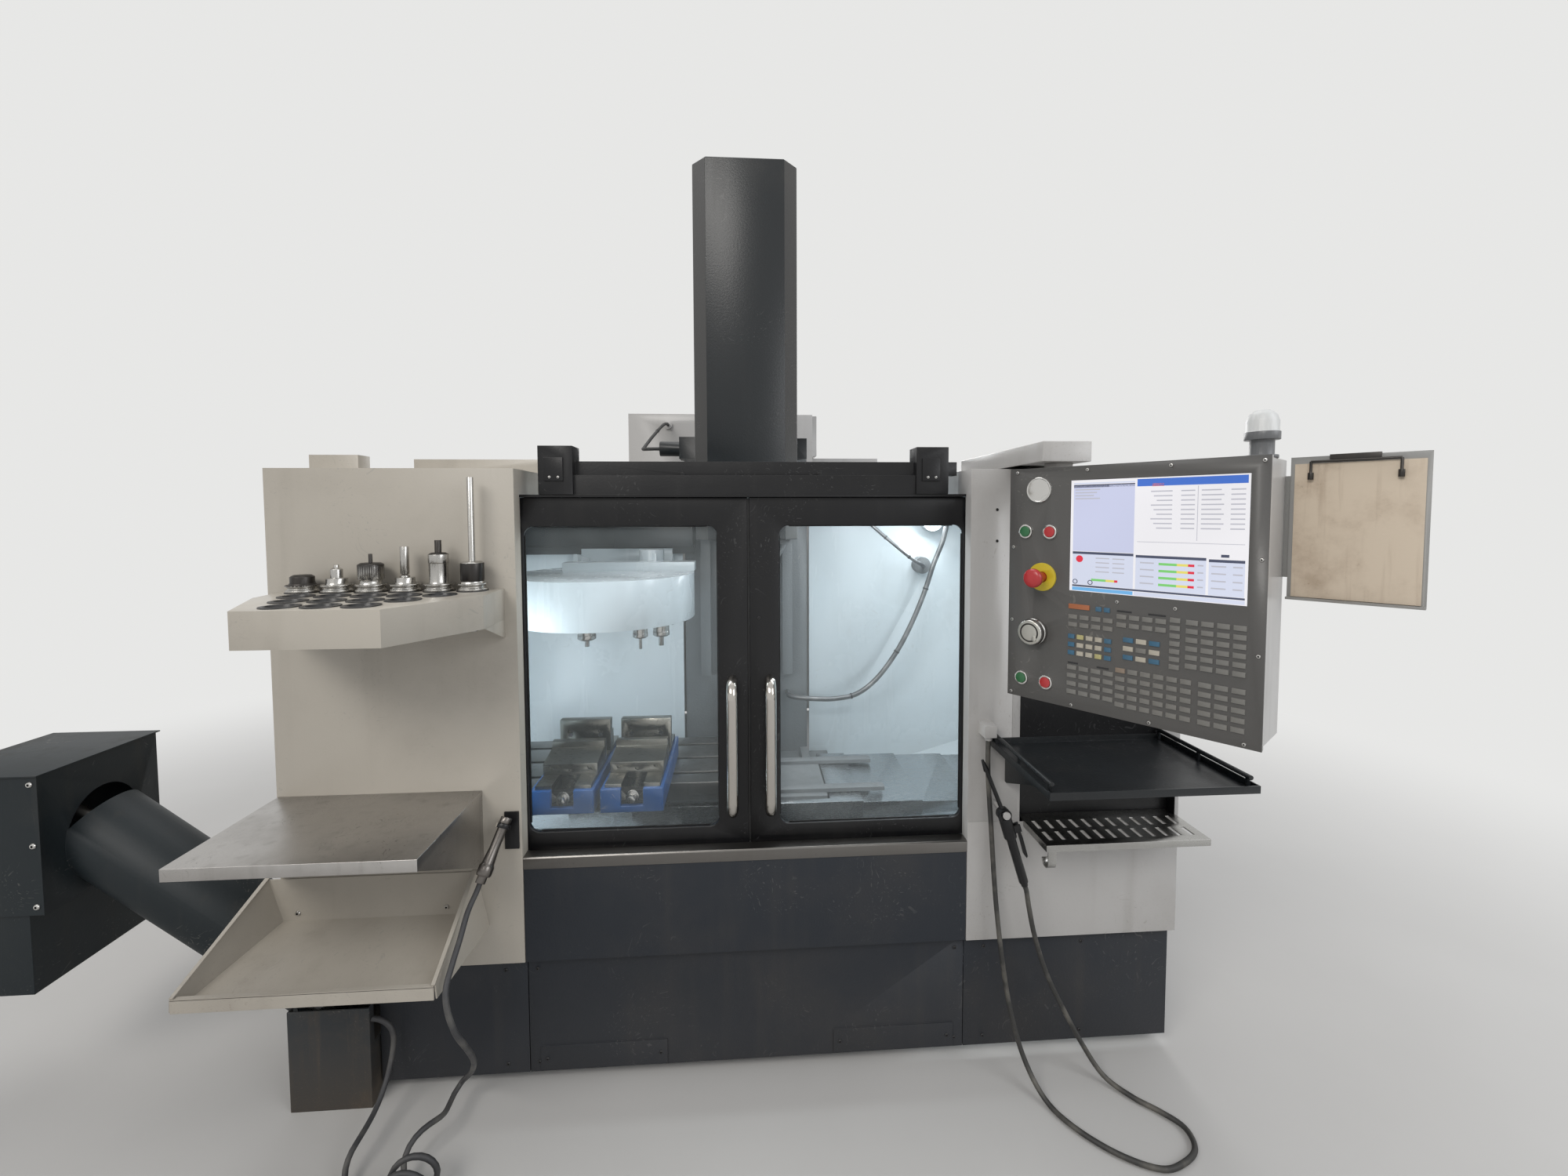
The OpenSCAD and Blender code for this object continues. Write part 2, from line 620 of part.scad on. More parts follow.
module head_cover() color([0.24, 0.26, 0.28]) placed() {
    f = cover_front_w / 2;
    s = cover_w / 2;
    y0 = spindle_y - 120;
    y1 = column_y - 70;
    z0 = nose_z + 32;
    difference() {
        translate([0, 0, z0]) linear_extrude(cover_top_z - z0) polygon([
            [-f, y0], [f, y0], [s, y0 + 46], [s, y1], [-s, y1], [-s, y0 + 46]
        ]);
        translate([0, 0, z0 - 1]) linear_extrude(cover_top_z - z0 - 3) polygon([
            [-f + 2, y0 + 4], [f - 2, y0 + 4], [s - 4, y0 + 48], [s - 4, y1 + 1], [-s + 4, y1 + 1],
            [-s + 4, y0 + 48]
        ]);
    }
    // Brackets between the cover and the head
    for (x = [-s + 3, 95]) block([x, x + s - 98], [spindle_y + 110, spindle_y + 150], [nose_z + 240, nose_z + 246]);
}

// Saddle, table and covers

module saddle() color([0.45, 0.46, 0.47]) placed() {
    difference() {
        block([-saddle_w / 2 - 40, saddle_w / 2 + 40], [saddle_y - 165, saddle_y + 165],
            [saddle_low_z, table_low_z - 39]);
        block([-120, 120], [saddle_y - 120, saddle_y + 120], [saddle_low_z - 1, table_low_z - 60]);
    }
    block([-245, 245], [saddle_y - 150, saddle_y + 150], [table_low_z - 40, table_low_z - 12]);
    // Cross guides under the table
    for (y = [saddle_y - 110, saddle_y + 110])
        block([-430, 430], [y - 17, y + 17], [table_low_z - 12.6, table_low_z]);
    // Carriages on the bed guides
    for (x = [-y_rail_x, y_rail_x], y = [saddle_y - 140, saddle_y + 70]) difference() {
        block([x - 32, x + 32], [y, y + 70], [base_top_z + 4, saddle_low_z + 1]);
        block([x - 17.5, x + 17.5], [y - 1, y + 71], [base_top_z, base_top_z + 30.4]);
    }
}

// Cross-section of the table with its T-slots, in Y and Z
module table_outline() difference() {
    square([table_w, table_t]);
    for (k = [-1:1]) translate([table_w / 2 + k * slot_pitch, table_t]) {
        translate([-slot_w / 2, -26]) square([slot_w, 27]);
        translate([-slot_w * 0.9, -30]) square([slot_w * 1.8, 13]);
    }
    // Relief under the rims
    translate([-1, -1]) square([13, 22]);
    translate([table_w - 12, -1]) square([13, 22]);
}

module table() color([0.62, 0.63, 0.64]) placed()
    sideways(table_x - table_l / 2, table_l) translate([saddle_y - table_w / 2, table_low_z]) table_outline();

module way_covers() color("silver") placed() {
    y0 = saddle_y - 190;
    y1 = saddle_y + 190;
    // Four telescopic steps to each side
    for (s = [-1, 1], k = [0:3]) {
        a = [250, 330, 510, 690][k];
        b = [350, 535, 710, 920][k];
        z = cover_z - 5 * k;
        x = s > 0 ? [a, b] : [-b, -a];
        block(x, [y0 + 2 * k, y1 - 2 * k], [z, z + 3]);
        block(x, [y0 + 2 * k, y0 + 2 * k + 3], [z - 60 + 10 * k, z + 3]);
        block(x, [y1 - 2 * k - 3, y1 - 2 * k], [z - 60 + 10 * k, z + 3]);
    }
    for (k = [0:2], s = [-1, 1]) {
        x = [335, 515, 695][k];
        block(s > 0 ? [x, x + 3] : [-x - 3, -x], [y0 + 2 * k + 3, y1 - 2 * k - 3],
            [cover_z - 3 - 5 * k, cover_z - 5 * k]);
    }
    // Front apron of the saddle
    block([-300, 300], [y0, y0 + 3], [470, cover_z + 3]);
    block([-300, 300], [y0, saddle_y - 165], [cover_z, cover_z + 3]);
    block([-290, 290], [y0 + 3, saddle_y - 165], [480, 486]);
}

// Vises

module vise_bases() color([0.10, 0.35, 0.75]) placed() for (x = vise_x) difference() {
    block([x - 84, x + 84], [vise_y0 - 14, 566], [table_z, vise_jaw_z - vise_rim]);
    // Bed for the steel body and the slot for its screw
    block([x - jaw_w / 2 + 1.8, x + jaw_w / 2 - 1.8], [vise_y0, 567], [vise_bed_z, vise_jaw_z]);
    block([x - 30, x + 30], [vise_y0 - 15, vise_y0 + 1], [vise_bed_z, vise_jaw_z]);
}

module vise_body(x) {
    difference() {
        union() {
            block([x - jaw_w / 2 + 2, x + jaw_w / 2 - 2], [vise_y0, 560], [vise_bed_z, vise_jaw_z]);
            block([x - jaw_w / 2, x + jaw_w / 2], [fixed_jaw_y, fixed_jaw_y + fixed_jaw_t],
                [vise_jaw_z - 1, vise_jaw_z + fixed_jaw_h]);
            block([x - jaw_w / 2 + 6, x + jaw_w / 2 - 6], [fixed_jaw_y + fixed_jaw_t - 1, fixed_jaw_y + 74],
                [vise_jaw_z - 1, vise_jaw_z + 46]);
            sideways(x - 40, 80) polygon([
                [fixed_jaw_y + 73, vise_jaw_z - 1], [556, vise_jaw_z - 1], [fixed_jaw_y + 73, vise_jaw_z + 34]
            ]);
        }
        // Slideway channel, screw bore and jaw bolts
        block([x - 30, x + 30], [vise_y0 - 1, fixed_jaw_y - 12], [vise_bed_z + 8, vise_jaw_z + 1]);
        along_y(x, vise_screw_z, fixed_jaw_y - 20, fixed_jaw_y + 40, vise_screw_r + 0.06);
        for (s = [-1, 1]) along_y(x + s * 46, vise_jaw_z + 62, fixed_jaw_y - 1, fixed_jaw_y + 14, 8);
    }
    // Front bearing of the screw
    difference() {
        block([x - 30, x + 30], [vise_y0, vise_y0 + 22], [vise_bed_z + 7, vise_screw_z + 16]);
        along_y(x, vise_screw_z, vise_y0 - 1, vise_y0 + 23, vise_screw_r + 0.06);
    }
}

module vise_bodies() color([0.60, 0.60, 0.58]) placed() for (x = vise_x) vise_body(x);

module vise_jaw(x) difference() {
    union() {
        block([x - jaw_w / 2, x + jaw_w / 2], [moving_jaw_y + 88, moving_jaw_y + moving_jaw_l],
            [vise_jaw_z, vise_jaw_z + jaw_h]);
        sideways(x - jaw_w / 2 + 1, jaw_w - 2) polygon([
            [moving_jaw_y, vise_jaw_z], [moving_jaw_y + 89, vise_jaw_z], [moving_jaw_y + 89, vise_jaw_z + 45],
            [moving_jaw_y, vise_jaw_z + 31]
        ]);
        // Nut that runs in the channel
        block([x - 29.5, x + 29.5], [moving_jaw_y + 20, moving_jaw_y + 80],
            [vise_bed_z + 8.5, vise_jaw_z + 1]);
    }
    along_y(x, vise_screw_z, moving_jaw_y + 19, moving_jaw_y + 81, vise_screw_r + 0.06);
    // Bolt holes in the front
    for (s = [-1, 1]) along_y(x + s * 52, vise_jaw_z + 19, moving_jaw_y - 1, moving_jaw_y + 8, 5);
    along_y(x, vise_jaw_z + 12, moving_jaw_y - 1, moving_jaw_y + 8, 5);
}

module left_vise_jaw() color([0.66, 0.66, 0.63]) placed() vise_jaw(vise_x[0]);
module right_vise_jaw() color([0.66, 0.66, 0.63]) placed() vise_jaw(vise_x[1]);

module vise_screw(x) {
    along_y(x, vise_screw_z, vise_y0 - 12, fixed_jaw_y + 20, vise_screw_r);
    along_y(x, vise_screw_z, vise_y0 - 6, vise_y0 - 1, vise_screw_r + 6, 24);
    translate([x, vise_y0 - 11, vise_screw_z]) rotate([90, 0, 0]) cylinder(r = 11, h = 16, $fn = 6);
}

module left_vise_screw() color("gray") placed() vise_screw(vise_x[0]);
module right_vise_screw() color("gray") placed() vise_screw(vise_x[1]);

// Tool changer

module carousel_carriage() color([0.90, 0.91, 0.92]) placed() {
    // Round cover, open below
    translate([drum_x, drum_y, drum_z]) difference() {
        cylinder(r = drum_r, h = drum_h, $fn = 96);
        translate([0, 0, -1]) cylinder(r = drum_r - 3, h = drum_h - 2, $fn = 96);
    }
    translate([drum_x, drum_y, disc_z + disc_t]) cylinder(r = 26, h = drum_z + drum_h - disc_z - disc_t, $fn = 32);
    // Bracket and drive housing on top, hung from the beam
    block([-640, -184], [drum_y + 60, drum_y + 130], [carriage_z - 1, carriage_z + 30]);
    block([-620, -300], [drum_y + 129, beam_y], [carriage_z - 1, carriage_z + 12]);
    for (x = [-620, -340]) sideways(x, 14) polygon([
        [drum_y + 129, carriage_z + 11], [beam_y - 20, carriage_z + 11], [beam_y - 20, carriage_z + 26],
        [drum_y + 129, carriage_z + 56]
    ]);
    // Shoe that runs on the rail under the beam
    difference() {
        block([-640, -290], [beam_y - 20, beam_y + 26], [carriage_z - 1, beam_z0 - 8]);
        block([-641, -289], [beam_y - 5.5, beam_y + 15.5], [beam_z0 - 30.4, beam_z0]);
    }
    translate([-350, drum_y + 185, carriage_z + 10]) cylinder(r = 45, h = 58, $fn = 32);
    translate([drum_x, drum_y, disc_z + 8]) cylinder(r = 19.94, h = disc_t - 6, $fn = 32);
}

module carousel_disc() color([0.55, 0.56, 0.58]) placed() translate([drum_x, drum_y, disc_z]) difference() {
    union() {
        cylinder(r = pocket_r + 20, h = disc_t, $fn = 96);
        translate([0, 0, -14]) cylinder(r = hub_r + 20, h = 14, $fn = 48);
    }
    for (k = [0:pockets - 1]) rotate([0, 0, 360 * k / pockets]) {
        translate([pocket_r, 0, -1]) cylinder(r = 24.5, h = disc_t + 2, $fn = 32);
        translate([pocket_r + 8, -20, -1]) cube([30, 40, disc_t + 2]);
    }
    for (k = [0:4]) rotate([0, 0, 72 * k + 36]) translate([135, 0, -1]) cylinder(r = 42, h = disc_t + 2, $fn = 32);
    translate([0, 0, 6]) cylinder(r = 20, h = disc_t, $fn = 32);
}

// Side profile of a tapered tool holder above and below its flange
module holder_body(body_r, body_h, nut_r, nut_h) rotate_extrude($fn = 32) polygon([
    [0, -95], [9, -95], [9, -84], [6, -80], [6, -70], [12.5, -68], [22.2, -1], [22.2, 0],
    [31.7, 0], [31.7, 4], [27.5, 7], [27.5, 10], [31.7, 13], [31.7, 16], [body_r + 2, 16],
    [body_r, 20], [body_r, body_h], [nut_r, body_h + 1], [nut_r, body_h + nut_h], [nut_r - 6, body_h + nut_h + 4],
    [0, body_h + nut_h + 4]
]);

module cutter(z, r, l, fn = 16) translate([0, 0, z]) cylinder(r = r, h = l, $fn = fn);

// Holder hanging with its cutter down
module hung_tool(a, body_r, body_h, cut_r, cut_l)
    translate([drum_x + pocket_r * cos(a), drum_y + pocket_r * sin(a), disc_z]) rotate([180, 0, 0]) {
        holder_body(body_r, body_h, body_r + 1, 12);
        cutter(body_h + 16, cut_r, cut_l);
    }

module carousel_tools() color("lightgray") placed() {
    hung_tool(-36, 25, 52, 8, 30);
    hung_tool(-54, 22, 46, 5, 34);
    hung_tool(-90, 26, 40, 7, 20);
    hung_tool(36, 17, 40, 6, 30);
    hung_tool(144, 17, 34, 5, 28);
}

// Electrical cabinet at the back

module rear_cabinet() color([0.84, 0.84, 0.83]) placed() {
    difference() {
        block(cabinet_x, cabinet_y, cabinet_z);
        block([cabinet_x[0] + 3, cabinet_x[1] - 3], [cabinet_y[0] + 3, cabinet_y[1] + 1],
            [cabinet_z[0] + 3, cabinet_z[1] - 3]);
    }
    // Mounting plate with drive units inside
    block([cabinet_x[0] + 40, cabinet_x[1] - 40], [cabinet_y[0] + 3, cabinet_y[0] + 8],
        [cabinet_z[0] + 60, cabinet_z[1] - 60]);
    for (k = [0:3]) block([-480 + 180 * k, -350 + 180 * k], [cabinet_y[0] + 8, cabinet_y[0] + 110],
        [cabinet_z[1] - 650, cabinet_z[1] - 260]);
    block([-480, 190], [cabinet_y[0] + 8, cabinet_y[0] + 90], [cabinet_z[0] + 260, cabinet_z[0] + 560]);
    // Louvred fan box and side box
    difference() {
        block([cabinet_x[1], cabinet_x[1] + 22], [cabinet_y[0] + 10, cabinet_y[0] + 150], [cabinet_z[1] - 200, cabinet_z[1] - 5]);
        for (k = [0:7]) block([cabinet_x[1] + 18, cabinet_x[1] + 23],
            [cabinet_y[0] + 24, cabinet_y[0] + 136], [cabinet_z[1] - 184 + 20 * k, cabinet_z[1] - 176 + 20 * k]);
    }
    block([cabinet_x[1], cabinet_x[1] + 330], [cabinet_y[0] + 30, cabinet_y[0] + 150],
        [cabinet_z[1] - 300, cabinet_z[1] - 210]);
    // Cable gland on the front
    along_y(-370, cabinet_z[1] - 55, cabinet_y[0] - 16, cabinet_y[0], 20, 24);
    // Hinge knuckles
    for (z = hinge_z) translate([cabinet_x[0] - 8, cabinet_y[1] + 8, z]) difference() {
        union() {
            cylinder(r = 7, h = 40, $fn = 24);
            block([-4, 7.5], [-26, 0], [0, 40]);
            block([7, 12], [-26, -9], [0, 40]);
        }
        translate([0, 0, -1]) cylinder(r = 4.06, h = 42, $fn = 24);
    }
}

module cabinet_door() color([0.82, 0.82, 0.81]) placed() {
    x = cabinet_x;
    y = cabinet_y[1];
    difference() {
        block([x[0], x[1]], [y, y + 20], [cabinet_z[0], cabinet_z[1]]);
        block([x[0] + 3, x[1] - 3], [y - 1, y + 17], [cabinet_z[0] + 3, cabinet_z[1] - 3]);
    }
    block([x[1] - 60, x[1] - 20], [y + 20, y + 22], [cabinet_z[0] + 660, cabinet_z[0] + 760]);
    for (z = hinge_z) translate([x[0] - 8, y + 8, z]) {
        translate([0, 0, 0]) cylinder(r = 4, h = 79, $fn = 24);
        translate([0, 0, 40.5]) cylinder(r = 7, h = 39, $fn = 24);
        block([0, 9], [3, 10], [40.5, 79]);
    }
}

// Chip auger and coolant

module along_auger(s) translate([auger_x0, trough_y, auger_z0]) rotate([0, auger_slope - 90, 0])
    translate([0, 0, s]) rotate([0, 0, 90]) children();

module auger_tube() color([0.22, 0.27, 0.31]) placed() {
    difference() {
        along_auger(-100) cylinder(r = auger_r, h = auger_len + 120, $fn = 48);
        along_auger(-101) cylinder(r = auger_r - 3, h = auger_len + 122, $fn = 48);
        block([auger_x0, auger_x0 + 300], [-50, 300], [-100, 600]);
        block([head_x1 - head_w - 50, head_x1 - 3], [-50, 300], [300, 1000]);
    }
    // Discharge head
    difference() {
        block([head_x1 - head_w, head_x1], [head_y0, head_y1], [head_z0, head_z1]);
        block([head_x1 - head_w + 3, head_x1 - 3], [head_y0 + 3, head_y1 - 3], [head_z0 - 1, head_z1 - 3]);
        along_auger(auger_len - 160) cylinder(r = auger_r - 3, h = 260, $fn = 48);
    }
    block([head_x1 - head_w - 6, head_x1 + 6], [head_y0 - 6, head_y1 + 6], [head_z1, head_z1 + 3]);
    // Bearing bridge across the head
    along_auger(auger_len + 138) difference() {
        translate([head_y0 + 2 - trough_y, -32, 0]) cube([head_y1 - head_y0 - 4, 64, 12]);
        translate([0, 0, -1]) cylinder(r = 17.06, h = 14, $fn = 24);
    }
    // Chute below the head
    difference() {
        block([head_x1 - head_w + 10, head_x1 - 40], [head_y0 + 8, head_y1 - 8], [chute_z, head_z0]);
        block([head_x1 - head_w + 13, head_x1 - 43], [head_y0 + 11, head_y1 - 11], [chute_z - 1, head_z0 + 1]);
    }
    difference() {
        block([head_x1 - head_w + 3, head_x1 - 3], [head_y0 + 3, head_y1 - 3], [head_z0, head_z0 + 3]);
        block([head_x1 - head_w + 13, head_x1 - 43], [head_y0 + 11, head_y1 - 11], [head_z0 - 1, head_z0 + 4]);
    }
}

module auger_screw() color("gray") placed() along_auger(24) {
    cylinder(r = 17, h = auger_len + 134, $fn = 24);
    linear_extrude(auger_len - 60, twist = -360 * (auger_len - 60) / auger_lead, slices = 48)
        polygon([[10, -5], [auger_r - 9, -4], [auger_r - 9, 4], [10, 5]]);
}

module coolant_tank() color([0.20, 0.24, 0.29]) placed() {
    difference() {
        block(tank_x, [-12, 700], [0, 150]);
        block([tank_x[0] + 4, tank_x[1] - 4], [-8, 696], [6, 151]);
    }
    block(tank_x, [-12, -8], [149, 247]);
    for (x = [tank_x[0], tank_x[1] - 4]) block([x, x + 4], [-12, 6], [149, 247]);
    // Lid and pump at the back
    block([tank_x[0] + 4, tank_x[1] - 4], [400, 696], [144, 150]);
    translate([-1000, 560, 150]) cylinder(r = 55, h = 150, $fn = 32);
}

// Pendant

module pendant_frame() translate([pendant_pivot[0], pendant_pivot[1], 0]) rotate([0, 0, -pendant_yaw]) children();

// A place on the panel, u to the right and v down from its upper left corner
module on_panel(uv) pendant_frame()
    translate([uv[0] - pendant_left, -pendant_front, pendant_top - uv[1]]) rotate([90, 0, 0]) children();

module pendant_arm() color([0.82, 0.82, 0.80]) placed() difference() {
    union() {
        block(arm_x, [-175, 330], [arm_z, arm_z + arm_h]);
        block([arm_x[0], arm_x[1]], [60, 330], [top_z, arm_z + 1]);
    }
    block([arm_x[0] + 4, arm_x[1] - 4], [-60, 326], [top_z + 4, arm_z + arm_h - 4]);
    translate([pendant_pivot[0], pendant_pivot[1], arm_z - 1]) cylinder(r = pin_r + 0.06, h = 32, $fn = 32);
}

module pendant_housing() color([0.84, 0.84, 0.82]) placed() pendant_frame() {
    x0 = -pendant_left;
    y0 = -pendant_front + pendant_plate;
    z0 = pendant_top - panel_h;
    difference() {
        block([x0 + 3, x0 + panel_w - 3], [y0, y0 + pendant_d], [z0 + 3, pendant_top - 3]);
        block([x0 + 6, x0 + panel_w - 6], [y0 - 1, y0 + pendant_d - 3], [z0 + 6, pendant_top - 6]);
    }
    // Flange behind the panel
    difference() {
        block([x0, x0 + panel_w], [y0, y0 + 8], [z0, pendant_top]);
        block([x0 + 12, x0 + panel_w - 12], [y0 - 1, y0 + 9], [z0 + 12, pendant_top - 12]);
    }
    // Swivel pin
    translate([0, 0, pendant_top - 3]) cylinder(r = 30, h = arm_z - pendant_top + 2.7, $fn = 32);
    translate([0, 0, pendant_top - 3]) cylinder(r = pin_r, h = arm_z - pendant_top + 31, $fn = 32);
}

// Blocks of keys: u, v, columns, rows, u pitch, v pitch
key_groups = [
    [189, 284, 2, 1, 16, 14], [135, 305, 4, 2, 23, 16], [135, 346, 5, 3, 18, 17],
    [229, 294, 4, 2, 23, 16], [322, 289, 1, 7, 22, 14.5], [348, 290, 4, 6, 24, 16],
    [134, 411, 4, 4, 24, 17], [229, 400, 6, 5, 22.5, 17], [370, 400, 3, 5, 25, 17],
    [242, 338, 3, 3, 23, 17]
];

module pendant_panel() color([0.42, 0.42, 0.42]) placed() {
    difference() {
        on_panel([0, panel_h]) translate([0, 0, -pendant_plate]) linear_extrude(pendant_plate) difference() {
            square([panel_w, panel_h]);
            translate([screen_u, panel_h - screen_v - screen_h]) square([screen_w, screen_h]);
            for (p = button_uv) translate([p[0], panel_h - p[1]]) circle(r = button_r + fit_gap, $fn = 32);
            translate([estop_uv[0], panel_h - estop_uv[1]]) circle(r = button_r + fit_gap, $fn = 32);
            translate([knob_uv[0], panel_h - knob_uv[1]]) circle(r = 6.05, $fn = 32);
        }
    }
    // Collars round the buttons
    for (p = button_uv) on_panel(p) linear_extrude(6) difference() {
        circle(r = 15, $fn = 32);
        circle(r = button_r + fit_gap, $fn = 32);
    }
    on_panel(estop_uv) linear_extrude(4) difference() {
        circle(r = 30, $fn = 32);
        circle(r = button_r + fit_gap, $fn = 32);
    }
    // Keys and the round plate in the corner
    on_panel([0, 0]) linear_extrude(2.4) {
        for (g = key_groups, i = [0:g[2] - 1], j = [0:g[3] - 1])
            translate([g[0] + i * g[4], -g[1] - j * g[5] - 10]) square([g[4] - 5, 9]);
        translate([135, -294]) square([42, 10]);
    }
    on_panel([67, 47]) cylinder(r = 27, h = 4, $fn = 48);
}

module screen() color([0.75, 0.82, 0.90]) placed()
    on_panel([screen_u, screen_v + screen_h]) translate([0, 0, -pendant_plate - 8]) {
        translate([-12, -12, 0]) cube([screen_w + 24, screen_h + 24, 8]);
        translate([0.5, 0.5, 7]) cube([screen_w - 1, screen_h - 1, 2.5]);
    }

module push_button(p, r, h) on_panel(p) {
    translate([0, 0, 0]) cylinder(r = r, h = h, $fn = 32);
    translate([0, 0, -24]) cylinder(r = r - 3, h = 24, $fn = 32);
}

module power_on_button() color("green") placed() push_button(button_uv[0], button_r, 8);
module power_off_button() color("red") placed() push_button(button_uv[1], button_r, 8);
module start_button() color("green") placed() push_button(button_uv[2], button_r, 8);
module hold_button() color("red") placed() push_button(button_uv[3], button_r, 8);

module stop_button() color("firebrick") placed() on_panel(estop_uv) rotate_extrude($fn = 48) polygon([
    [0, -24], [button_r, -24], [button_r, 24], [16, 30], [20, 38], [20, 44], [17, 48], [11, 50], [0, 50.6]
]);

module jog_knob() color("silver") placed() on_panel(knob_uv) {
    rotate_extrude($fn = 48) polygon([
        [0, -20], [6, -20], [6, 0.3], [27, 0.3], [29, 2], [29, 8], [27, 10], [27, 22], [25, 24], [0, 24]
    ]);
    translate([12, -12, 24]) cylinder(r = 5, h = 3, $fn = 24);
}

module beacon() color([0.7, 0.72, 0.72]) placed() pendant_frame() translate([385, -58, pendant_top - 3]) {
    cylinder(r = 24, h = 6, $fn = 32);
    translate([0, 0, 6]) cylinder(r = 18, h = 26, $fn = 32);
    translate([0, 0, 32]) cylinder(r = 26, h = 14, $fn = 32);
    translate([0, 0, 46]) rotate_extrude($fn = 32) polygon([[0, 0], [24, 0], [24, 18], [20, 30], [12, 37], [0, 39]]);
}

module sheet_holder() color([0.85, 0.82, 0.72]) placed() pendant_frame() {
    x0 = panel_w - pendant_left - 3;
    y = 4;
    // Board with a ledge and side bracket
    block([x0 + 8, x0 + 182], [y, y + 4], [pendant_top - 250, pendant_top]);
    block([x0 + 8, x0 + 182], [y - 12, y], [pendant_top - 250, pendant_top - 246]);
    block([x0, x0 + 12], [y + 4, y + 8], [pendant_top - 212, pendant_top - 32]);
    // Sheets and the wire clip
    block([x0 + 14, x0 + 176], [y - 2, y], [pendant_top - 245, pendant_top - 12]);
    along_clip(x0, y);
}

module along_clip(x0, y) {
    translate([x0 + 36, y - 6, pendant_top - 9]) rotate([0, 90, 0]) cylinder(r = 2, h = 112, $fn = 16);
    for (x = [x0 + 36, x0 + 148]) {
        translate([x, y - 6, pendant_top - 32]) cylinder(r = 2, h = 23, $fn = 16);
        translate([x, y - 6, pendant_top - 40]) cylinder(r = 4, h = 12, $fn = 16);
    }
    block([x0 + 60, x0 + 124], [y - 4, y + 4], [pendant_top - 7, pendant_top + 2]);
}

// Fittings on the right

module work_tray() color([0.23, 0.24, 0.25]) placed() {
    difference() {
        block([599, 1046], [-308, 0], [838, 854]);
        block([602, 1043], [-305, -3], [841, 855]);
    }
    // Rails along both sides
    for (x = [606, 1032]) {
        along_y(x + 3, 866, -296, -6, 5, 16);
        for (y = [-290, -150, -14]) block([x, x + 6], [y, y + 6], [840, 866]);
    }
    for (x = [640, 990]) sideways(x, 4) polygon([[-230, 838.5], [0, 838.5], [0, 836], [-1, 834], [-1, 742], [-10, 742], [-230, 830]]);
}

module perforated_shelf() color("silver") placed() {
    z = recess_z + 3;
    difference() {
        union() {
            block([690, right_x - 12], [-122, -0.4], [recess_z, z]);
            block([690, half_w - 10.4], [-1, 33], [recess_z, z]);
        }
        for (i = [0:11], j = [0:1])
            block([708 + 32 * i, 718 + 32 * i], [-98 + 54 * j, -60 + 54 * j], [recess_z - 1, z + 1]);
    }
    block([690, right_x - 12], [-122, -119], [z - 16, z]);
    for (x = [690, right_x - 15]) block([x, x + 3], [-120, -1], [z - 16, z - 1]);
    // Hook at the left front corner
    sideways(694, 20) difference() {
        union() {
            translate([-122, 596]) square([3, 43]);
            translate([-106, 596]) circle(r = 16, $fn = 32);
        }
        translate([-106, 596]) circle(r = 13, $fn = 32);
        translate([-119, 596]) square([26, 30]);
        translate([-93.5, 596]) square([10, 30]);
    }
}

module at_gun() translate(air_end) rotate([0, gun_tilt, 0]) translate([0, 0, gun_len]) children();

module air_gun() color([0.16, 0.17, 0.18]) placed() at_gun() {
    difference() {
        union() {
            // Handle, head, trigger lug and hanging eye
            translate([0, 0, -178]) cylinder(r = 11, h = 120, $fn = 32);
            translate([0, 0, -60]) cylinder(r = 15, h = 52, $fn = 32);
            translate([0, 10, 0]) rotate([90, 0, 0]) cylinder(r = 16, h = 20, $fn = 32);
            translate([5, -8, -51]) cube([24, 16, 18]);
        }
        translate([0, 11, 0]) rotate([90, 0, 0]) cylinder(r = 9.6, h = 22, $fn = 32);
        translate([15.3, -4.2, -52]) cube([20, 8.4, 20]);
    }
    // Barrel, nozzle and hose tail
    rotate([0, -5, 0]) {
        translate([0, 0, 13]) cylinder(r = 5, h = 106, $fn = 24);
        translate([0, 0, 118]) cylinder(r1 = 7, r2 = 3, h = 28, $fn = 24);
    }
    translate([0, 0, -gun_len + 0.3]) cylinder(r = 8, h = gun_len - 177, $fn = 24);
    translate([22, 7, -42]) rotate([90, 0, 0]) cylinder(r = 2.4, h = 14, $fn = 24);
}

module air_gun_trigger() color("black") placed() at_gun() difference() {
    union() {
        translate([22, 3.8, -42]) rotate([90, 0, 0]) cylinder(r = 5.5, h = 7.6, $fn = 24);
        translate([0, 3.8, 0]) rotate([90, 0, 0]) linear_extrude(7.6)
            polygon([[20, -42], [26, -43], [28, -70], [27, -118], [23, -122], [19, -110], [20, -80]]);
    }
    translate([22, 5, -42]) rotate([90, 0, 0]) cylinder(r = 2.45, h = 10, $fn = 24);
}

module air_hose() color([0.35, 0.35, 0.34]) placed() hose(air_route, air_hose_d, 3, 10);

// Fittings on the left

module at_wash_gun() translate(wash_end) rotate([0, 17, 0]) rotate([-31, 0, 0]) children();

module wash_gun() color([0.75, 0.75, 0.74]) placed() at_wash_gun() {
    translate([0, 0, 0.3]) cylinder(r = 11, h = 15, $fn = 32);
    translate([0, 0, 15]) rotate_extrude($fn = 32)
        polygon([[0, 0], [15, 0], [17, 4], [17, 20], [14, 26], [11, 60], [11, 112], [0, 112]]);
    translate([0, 0, 126]) cylinder(r = 13, h = 14, $fn = 32);
}

module wash_hose() color([0.20, 0.20, 0.21]) placed() {
    hose(wash_route, wash_hose_d, 3, 8);
    hose(tail_route, wash_hose_d, 3, 8);
}

module wash_coil() color([0.42, 0.42, 0.43]) placed() hose(curl_route, curl_d, 2, 12);

